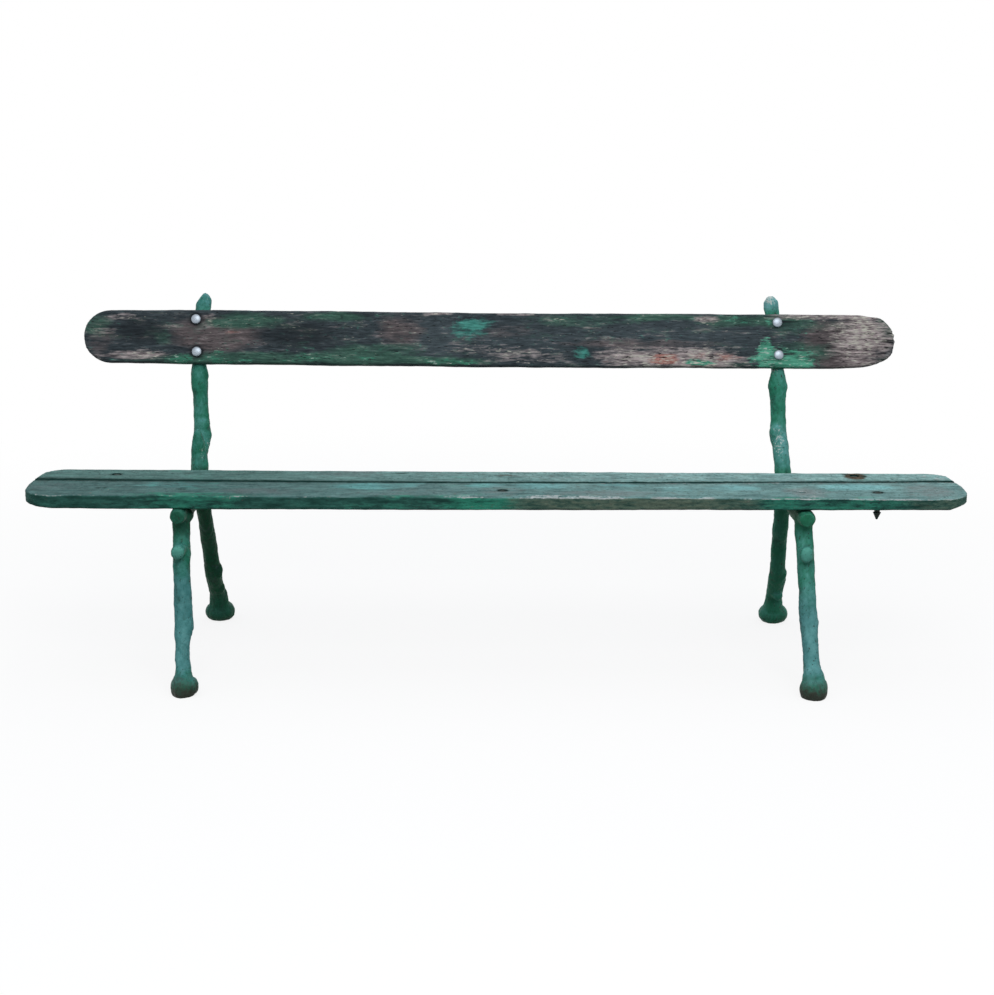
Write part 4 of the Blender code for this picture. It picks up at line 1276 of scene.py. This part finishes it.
# Painted shade and dirt round these heads, strongest round the deep recesses
HEAD_SHADE_AND_DIRT_RADIUS = 0.0135
HEAD_SHADE_AND_DIRT = {"strap_middle_front_bolt": 1.0, "coach_screw": 1.0, "strap_left_rear_bolt": 1.0,
             "strap_middle_rear_bolt": 0.2, "strap_right_rear_bolt": 0.1}

marks_and_head_shade = list(DARK_MARKS)
for head, amount in HEAD_SHADE_AND_DIRT.items():
    middle = top_middle(head, UPRIGHT)
    marks_and_head_shade.append((middle.x, middle.y, HEAD_SHADE_AND_DIRT_RADIUS, HEAD_SHADE_AND_DIRT_RADIUS, amount))
print("seat patches:", len(RUBBED + FRESH + TOP_WEAR_AND_HIGHLIGHT + OVER_EDGE + RUST_MARKS))
print("dirt marks:", len(marks_and_head_shade))

# %% [markdown]
# ## The seat's edges
# Along the front edge only the place along the seat matters, so these patches are stretches. Which
# points are rim, face or gap is told by the way that the surface faces there.

# %% Edge stretches
# The first stretches say where the rim's worn paint and painted highlight are strongest.
# Each stretch: place along the seat, half length, amount
RIM_WEAR_AND_HIGHLIGHT = (
    (-0.97, 0.06, 0.5), (-0.73, 0.02, 0.3), (-0.56, 0.03, 0.6), (-0.40, 0.03, 0.5), (-0.05, 0.05, 0.4),
    (0.17, 0.12, 0.9), (0.39, 0.07, 0.95), (0.59, 0.10, 0.85), (0.86, 0.17, 0.95),
)
EMERALD = (
    (-0.67, 0.12, 0.65), (-0.24, 0.10, 0.3), (-0.04, 0.08, 1.0), (0.62, 0.05, 0.6), (0.79, 0.12, 0.6),
    (0.30, 0.04, 0.4),
)
OLIVE = ((0.21, 0.19, 0.9), (0.46, 0.13, 0.8), (0.97, 0.08, 0.6))


def stretches(along, places):
    """Patches that only run along a board."""
    return patches(along, 0 * along, [(x, 0, half_length, 1, amount) for x, half_length, amount in places])


print("stretches:", len(RIM_WEAR_AND_HIGHLIGHT + EMERALD + OLIVE))

# %% Seat zones
RIM_FROM_TO = (1 / 6, 1 / 2)
RIM_EVERYWHERE = 0.30
# Painted glints, a painted highlight, along the front board's edge at the gap
GAP_GLINT = 0.8
GAP_GLINT_WIDTH = 0.008
GAP_GLINT_ALONG = (0, 0.3)
GAP_KEPT_OFF = 2
GAP_FACE_SHADE_FROM_TO = (0.2, 1.6 / 3)
# Painted shade and dirt along the gap: how strong and wide in the middle, and how both change to the right
# and outwards
GAP_SHADE_AND_DIRT = 0.9
GAP_SHADE_AND_DIRT_SLOPE = -0.25
GAP_SHADE_AND_DIRT_WIDTH = 0.0091
GAP_SHADE_AND_DIRT_WIDENS = 0.0065
MARK_FACING = -0.1
FACE_FROM_TO = (0.55, 0.30)
for board, gap_side in GAP_SIDES.items():
    in_front = board == front_board
    along, across, _ = points_of(board).T
    facing_x, facing_y, facing_up = normals_of(board).T
    upward = np.clip(facing_up, 0, 1)
    at_gap = np.clip(gap_side * facing_y, 0, 1)
    outer = np.clip(np.hypot(facing_x, facing_y) - GAP_KEPT_OFF * at_gap, 0, 1)
    from_gap = across - GAP_MIDDLE - gap_line(along)
    # The rim, where the surface faces out and up: worn paint and a painted highlight
    rim = in_front * rising(outer * upward, *RIM_FROM_TO)
    # Painted glints along the front board's gap edge, with the pale top patches
    gap_rim = in_front * GAP_GLINT * bell(from_gap, -GAP_GLINT_WIDTH, GAP_GLINT_WIDTH)
    gap_rim = gap_rim * rising(along, *GAP_GLINT_ALONG) + patches(along, across, TOP_WEAR_AND_HIGHLIGHT) * upward
    shade_and_dirt_width = GAP_SHADE_AND_DIRT_WIDTH + GAP_SHADE_AND_DIRT_WIDENS * np.abs(along)
    # Painted shade on the faces inside the gap, and painted shade with dirt in a band along it
    grime_and_shade = rising(at_gap, *GAP_FACE_SHADE_FROM_TO)
    grime_and_shade += (GAP_SHADE_AND_DIRT + GAP_SHADE_AND_DIRT_SLOPE * along) * bell(from_gap, 0, shade_and_dirt_width)
    # Dark marks, and painted shade and dirt round the heads in the recesses
    grime_and_shade += patches(along, across, marks_and_head_shade) * (facing_up > MARK_FACING)
    store(board, "rubbed", patches(along, across, RUBBED))
    store(board, "fresh", patches(along, across, FRESH))
    store(board, "rim", rim * (RIM_EVERYWHERE + stretches(along, RIM_WEAR_AND_HIGHLIGHT)) + gap_rim)
    store(board, "face", rising(upward, *FACE_FROM_TO) + patches(along, across, OVER_EDGE))
    store(board, "emerald", stretches(along, EMERALD))
    store(board, "olive", stretches(along, OLIVE))
    store(board, "rust", np.clip(patches(along, across, RUST_MARKS), 0, 1) * upward)
    store(board, "grime_and_shade", np.clip(grime_and_shade, 0, 1))
    print(board.name, "rim points:", int((rim > 0.3).sum()))

# %% [markdown]
# ## Worn paint on the seat
# Oil paint brushed on softwood and left out for years turns chalky: the gloss has gone, and the
# colour clouds over in blotches a few centimetres long, with specks of a few millimetres. The
# right half is paler, from painted light and from more sun, and the front board, where people sit,
# is darker.

# %% Seat paint
seat_paint, tree, shader = start_material("chalky blue-green oil paint on softwood")
place = node(tree, "TexCoord", out="Object")
clouds = cloud_pattern(tree, place, (60, 30, 12), 5, 0.6)
streaks = cloud_pattern(tree, place, (110, 16, 8), 5, 0.62)
flakes = cloud_pattern(tree, place, (20, 18, 7), 6, 0.7)
specks = cloud_pattern(tree, place, (8, 12, 4), 3, 0.6)
east = node(tree, "SeparateXYZ", {0: place}, out="X")
# Paler to the right: painted light, and paint faded by more sun
painted_light_and_fading = node(tree, "MapRange", {"Value": east, "From Min": -0.6, "From Max": 0.4})
ahead = node(tree, "SeparateXYZ", {0: place}, out="Y")
used = node(tree, "MapRange", {"Value": ahead, "From Min": 0.0, "From Max": -0.06})
print("seat patterns:", len(tree.nodes), "nodes")

# %% Seat paint layers
# The top of both boards, fresher paint and paint rubbed thin
tone = node(tree, "Math", {0: streaks, 1: clouds}, operation="ADD")
tone = node(tree, "Math", {0: specks, 1: 0.9, 2: tone}, operation="MULTIPLY_ADD")
tone = node(tree, "MapRange", {"Value": tone, "From Min": 0.65, "From Max": 2.25})
rear = laid(tree, (ALL, tone, "#3b5b57", "#658d87"), (painted_light_and_fading, tone, "#587c7a", "#9fc8c4"))
front = laid(tree, (ALL, tone, "#31504e", "#5b7f7c"), (painted_light_and_fading, tone, "#486968", "#7fa6a3"))
bright = ragged_zone(tree, "fresh", 0.95, 1.55, (clouds, 0.8), (flakes, 0.5))
fresh = laid(tree, (ALL, streaks, "#488583", "#6aa8a4"), (painted_light_and_fading, streaks, "#699f9f", "#8dc2c2"))
thin = ragged_zone(tree, "rubbed", 0.90, 1.80, (streaks, 0.7), (flakes, 0.7))

# The front face: deep green, emerald and olive
face = ragged_zone(tree, "face", 0.55, 1.05, (clouds, 0.5), (flakes, 0.4))
depth = node(tree, "Math", {0: flakes, 1: clouds}, operation="MULTIPLY")
emerald = ragged_zone(tree, "emerald", 1.00, 1.80, (clouds, 0.9), (flakes, 0.5))
olive = ragged_zone(tree, "olive", 0.90, 1.70, (clouds, 0.6), (flakes, 0.6))
under = laid(
    tree,
    (ALL, depth, "#1e423b", "#529486"),
    (emerald, flakes, "#257a63", "#46a58a"),
    (olive, flakes, "#3c5149", "#7b8b78"),
)

# Bare rim with a painted highlight, dark scratches, rust, and dirt with painted shade
worn = ragged_zone(tree, "rim", 1.85, 2.35, (flakes, 1.1), (specks, 0.9), (clouds, 0.4))
scratch = node(tree, "Math", {0: flakes, 1: specks}, operation="MULTIPLY")
scratch = node(tree, "MapRange", {"Value": scratch, "From Min": 0.075, "From Max": 0.03, "To Max": 0.5})
rust = ragged_zone(tree, "rust", 0.55, 1.05, (flakes, 0.5), (specks, 0.3))
grime_and_shade = ragged_zone(tree, "grime_and_shade", 0.35, 1.20, (specks, 0.3), (flakes, 0.5))
print("seat layers:", len(tree.nodes), "nodes")

# %% Seat coats
coat = laid(
    tree,
    (ALL, rear),
    (used, front),
    (bright, fresh),
    (thin, painted_light_and_fading, "#626d6e", "#84908f"),
    (face, under),
    (worn, specks, "#8d9998", "#c3cbca"),
    (scratch, "#2b4341"),
    (rust, specks, "#30261c", "#5f5444"),
    (grime_and_shade, "#0e302c"),
)
gloss = node(tree, "MapRange", {"Value": thin, "To Min": 0.60, "To Max": 0.85})
bump = node(tree, "Bump", {"Height": flakes, "Strength": 0.6, "Distance": 0.0010})
fill(tree, shader, {"Base Color": coat, "Roughness": gloss, "Normal": bump})
fill(tree, shader, {"IOR": 1.48, "Specular IOR Level": 0.06})
print("material:", seat_paint.name, len(tree.nodes), "nodes")

# %% [markdown]
# ## Painted cast iron
# Sand-cast iron under many coats of green oil paint. The coats soften the bark to patches of a
# centimetre or two, and where they face the sky a painted sky reflection and chalky paint make them
# bluer. The seat's shade and the light from the right are painted in as well. The hollows are
# darker, rust sits in them, and mud round the front feet. The grit of the sand shows only as specks,
# drawn about 5 mm wide because a real grain would be too fine for the picture.

# %% Iron paint
iron_paint, tree, shader = start_material("green oil paint on sand-cast iron")
place = node(tree, "TexCoord", out="Object")
blotches = cloud_pattern(tree, place, (45, 45, 60), 5, 0.6)
flakes = cloud_pattern(tree, place, (10, 10, 14), 5, 0.7)
specks = cloud_pattern(tree, place, (4.5, 4.5, 6), 2, 0.6)

# Deep green, bluish under the sky from a painted sky reflection and chalky paint, lighter with painted
# light, darkest in the seat's painted shade, and stained
painted_light = node(tree, "Attribute", out="Fac", attribute_name="painted_light")
tone = node(tree, "Math", {0: flakes, 1: blotches, 2: painted_light}, operation="MULTIPLY_ADD")
bluish = ragged_zone(tree, "sky_sheen_and_chalk", 0.35, 1.35, (blotches, 0.6), (flakes, 0.3))
# A sawn shoot end's forward face is painted lighter, as painted light
sawn = ragged_zone(tree, "sawn", 0.30, 1.00, (flakes, 0.3))
painted_shade = ragged_zone(tree, "painted_shade", 0, 1)
# The painted shade's pattern, lighter on the right frame with its painted light
shade = node(tree, "Math", {0: flakes, 1: 0.7}, operation="MULTIPLY")
shade = node(tree, "Math", {0: painted_light, 1: 4.0, 2: shade}, operation="MULTIPLY_ADD")
stain = node(tree, "Math", {0: blotches, 1: 0.6, 2: flakes}, operation="MULTIPLY_ADD")
stain = node(tree, "MapRange", {"Value": stain, "From Min": 0.50, "From Max": 0.25, "To Max": 0.7})
print("iron paint:", len(tree.nodes), "nodes")

# %% Iron dirt
# Darker hollows, rust specks, chips, and mud on the feet, less on the rear ones
hollow = ragged_zone(tree, "relief", -0.0004, -0.0026)
rust = node(tree, "Math", {0: flakes, 1: specks}, operation="MULTIPLY")
rust = node(tree, "MapRange", {"Value": rust, "From Min": 0.035, "From Max": 0.01})
chipped = ragged_zone(tree, "chipped", 1.05, 1.35, (specks, 0.7), (flakes, 0.5))
level = node(tree, "SeparateXYZ", {0: place}, out="Z")
mud = node(tree, "MapRange", {"Value": level, "From Min": 0.060, "From Max": 0.005})
mud = node(tree, "Math", {0: flakes, 1: 0.6, 2: mud}, operation="MULTIPLY_ADD")
behind = node(tree, "SeparateXYZ", {0: place}, out="Y")
cleaner = node(tree, "MapRange", {"Value": behind, "From Min": -0.10, "From Max": 0.10, "To Max": -0.6})
mud = node(tree, "Math", {0: cleaner, 1: mud}, operation="ADD")
mud = node(tree, "MapRange", {"Value": mud, "From Min": 0.45, "From Max": 1.12})
print("iron layers:", len(tree.nodes), "nodes")

# %% Iron coats
coat = laid(
    tree,
    (ALL, tone, "#1c6f54", "#4aa88b"),
    (bluish, tone, "#397a79", "#6fabaa"),
    (sawn, "#58a393"),
    (painted_shade, shade, "#062d1c", "#216e4c"),
    (stain, "#255650"),
    (hollow, "#1b4a3d"),
    (rust, "#2c352f"),
    (chipped, "#b8c2bd"),
    (mud, "#3b4239"),
)
gloss = node(tree, "MapRange", {"Value": flakes, "To Min": 0.45, "To Max": 0.75})
bump = node(tree, "Bump", {"Height": flakes, "Strength": 0.5, "Distance": 0.0012})
fill(tree, shader, {"Base Color": coat, "Roughness": gloss, "Normal": bump})
fill(tree, shader, {"IOR": 1.48, "Specular IOR Level": 0.18})
print("material:", iron_paint.name, len(tree.nodes), "nodes")

# %% [markdown]
# ## Zinc and rusty steel
# The four backrest bolts are newer: zinc-plated steel, pale and softly bright, a little clouded
# in spots of 3 mm. The steel under the seat was painted over with the frames and has rusted
# since: dull and dark, with crusts of some 8 mm.

# %% Metals
SPOT = 3
CRUST = 8

zinc, tree, shader = start_material("zinc-plated steel")
place = node(tree, "TexCoord", out="Object")
spots = node(tree, "TexNoise", {"Vector": place, "Scale": MILLIMETRES / SPOT, "Detail": 3})
plate = laid(tree, (ALL, spots, "#7b8793", "#b3bcc5"))
gloss = node(tree, "MapRange", {"Value": spots, "To Min": 0.35, "To Max": 0.50})
fill(tree, shader, {"Base Color": plate, "Roughness": gloss, "Metallic": 1})

rusty, tree, shader = start_material("rusty steel painted over")
place = node(tree, "TexCoord", out="Object")
settings = {"Vector": place, "Scale": MILLIMETRES / CRUST, "Detail": 6, "Roughness": 0.7}
crust = node(tree, "TexNoise", settings)
limits = {"Value": crust, "From Min": 0.42, "From Max": 0.52}
flaked = node(tree, "MapRange", limits, interpolation_type="SMOOTHSTEP")
skin = laid(tree, (ALL, flaked, "#1d3a35", "#2c302a"))
gloss = node(tree, "MapRange", {"Value": crust, "To Min": 0.55, "To Max": 0.90})
bump = node(tree, "Bump", {"Height": crust, "Strength": 0.5, "Distance": 0.0008})
fill(tree, shader, {"Base Color": skin, "Roughness": gloss, "Normal": bump, "Specular IOR Level": 0.30})
print("materials:", zinc.name, "and", rusty.name)

# %% [markdown]
# ## Putting the bench together
# Every piece takes its material, rides the bench's only body and hides the CAD node that it stands
# for. The three flat straps under the seat are right as they are and only take a material.

# %% Pieces
def dress(piece, material, slot, *nodes):
    piece.data.materials.clear()
    piece.data.materials.append(material)
    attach(piece, "root")
    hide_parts(*nodes)


dress(backrest, weathered, "worn_wood", "backrest_plank")
dress(front_board, seat_paint, "seat_paint", "seat_plank_front")
dress(rear_board, seat_paint, "seat_paint", "seat_plank_rear")
for side, casting in castings.items():
    dress(casting, iron_paint, "green_iron", f"side_frame_{side}")
for strap_place in ("left", "middle", "right"):
    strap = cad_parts[f"tie_strap_{strap_place}"]
    strap.material_slots[0].material = rusty
print("dressed:", [made.name for made in (backrest, front_board, rear_board, *castings.values())])

# %% [markdown]
# ## Hardware in place
# Bolts, washers and nuts are copied from the ones above, each copy with its own mesh, and set by
# the middle of the CAD node's upper end. Those of the backrest lean with it and are zinc. The
# heads of the frame bolts were painted with the seat, and all the rest is rusty.

# %% Hardware in place
FASTENERS = ("_bolt", "_washer", "_nut", "_screw")


def master_for(name):
    if name.endswith("_washer"):
        return washer
    if name.endswith("_nut"):
        return strap_nut if name.startswith("strap") else nut
    if name == "coach_screw":
        return coach_screw
    return {"backrest": back_bolt, "seat": frame_bolt, "strap": strap_bolt}[name.split("_")[0]]


def set_copy(name, tilt, axis, material, slot):
    master = master_for(name)
    piece = master.copy()
    piece.data = master.data.copy()
    piece.name = f"{name}_made"
    bpy.context.scene.collection.objects.link(piece)
    piece.rotation_euler.x = tilt
    piece.location = top_middle(name, axis)
    apply_place(piece)
    dress(piece, material, slot, name)


hardware = [name for name in sorted(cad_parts) if name.endswith(FASTENERS)]
for name in hardware:
    if name.startswith("backrest"):
        set_copy(name, BACK_TILT, BOLT_AXIS, zinc, "zinc")
    elif name.startswith("seat") and name.endswith("_bolt"):
        set_copy(name, 0, UPRIGHT, seat_paint, "seat_paint")
    else:
        set_copy(name, 0, UPRIGHT, rusty, "painted_steel")
for master in (back_bolt, frame_bolt, strap_bolt, coach_screw, washer, nut, strap_nut):
    bpy.data.objects.remove(master)
print("hardware pieces:", len(hardware))

# %% [markdown]
# ## The floor
# The photograph is a bench on plain white. The floor looks white to the camera and to
# reflections, but throws back only as much light as the ground outdoors, and it keeps a soft
# shadow near the feet.

# %% Floor
FLOOR_SIZE = 80
SHADOW_FADES = (1.0, 3.0)
WHITE_SHARE = 0.85


def looked_at(tree):
    """1 for rays that come from the camera, a mirror or glass, and 0 for those that only light."""
    camera_ray = node(tree, "LightPath", out="Is Camera Ray")
    rays = camera_ray.node.outputs
    looks = node(tree, "Math", {0: camera_ray, 1: rays["Is Glossy Ray"]}, operation="MAXIMUM")
    return node(tree, "Math", {0: looks, 1: rays["Is Transmission Ray"]}, operation="MAXIMUM")


bpy.ops.object.select_all(action="DESELECT")
bpy.ops.mesh.primitive_plane_add(size=FLOOR_SIZE, location=(0, 0, 0))
floor = bpy.context.object
floor.name = "floor"

ground, tree, shader = start_material("plain pale floor")
place = node(tree, "TexCoord", out="Object")
away = node(tree, "VectorMath", {0: place}, out="Value", operation="LENGTH")
limits = {"Value": away, "From Min": SHADOW_FADES[0], "From Max": SHADOW_FADES[1]}
far = node(tree, "MapRange", limits, interpolation_type="SMOOTHSTEP")
white = node(tree, "Emission", {"Color": "#ffffff", "Strength": 1})
pale = node(tree, "BsdfDiffuse", {"Color": "#f4f4f4"})
near = node(tree, "MixShader", {0: WHITE_SHARE, 1: pale, 2: white})
seen = node(tree, "MixShader", {0: far, 1: near, 2: white})
earth = node(tree, "BsdfDiffuse", {"Color": "#606060"})
surface = node(tree, "MixShader", {0: looked_at(tree), 1: earth, 2: seen})
fill(tree, tree.nodes["Material Output"].inputs, {"Surface": surface})
floor.data.materials.append(ground)
print("floor, m:", FLOOR_SIZE)

# %% [markdown]
# ## Sky and lamp
# The light is that of a grey day. In the photograph the seat is far brighter than the fronts, as
# where trees or houses hide the lower sky, so this sky falls from full strength overhead to
# almost nothing at the horizon. One large soft lamp in front stands for the brighter side.

# %% Sky and lamp
SKY_ZENITH = 1.15
SKY_HORIZON = 0.06
LAMP_PLACE = Vector((0.3, -2.9, 3.3))
LAMP_AIM = Vector((0, 0, 0.4))
LAMP_WIDTH = 3.2
LAMP_HEIGHT = 2.2
LAMP_WATTS = 70

sky = bpy.data.worlds.new("overcast sky")
sky.use_nodes = True
bpy.context.scene.world = sky
tree = sky.node_tree
direction = node(tree, "TexCoord", out="Generated")
up = node(tree, "SeparateXYZ", {0: direction}, out="Z")
strength = node(tree, "MapRange", {"Value": up, "To Min": SKY_HORIZON, "To Max": SKY_ZENITH})
overcast = node(tree, "Background", {"Color": "#f4f8ff", "Strength": strength})
backdrop = node(tree, "Background", {"Color": "#ffffff", "Strength": 1})
seen = node(tree, "MixShader", {0: looked_at(tree), 1: overcast, 2: backdrop})
fill(tree, tree.nodes["World Output"].inputs, {"Surface": seen})

bpy.ops.object.light_add(type="AREA", location=LAMP_PLACE)
lamp = bpy.context.object
lamp.rotation_euler = (LAMP_AIM - LAMP_PLACE).to_track_quat("-Z", "Y").to_euler()
lamp.data.shape = "RECTANGLE"
lamp.data.size = LAMP_WIDTH
lamp.data.size_y = LAMP_HEIGHT
lamp.data.energy = LAMP_WATTS
print("lamp at", tuple(LAMP_PLACE))
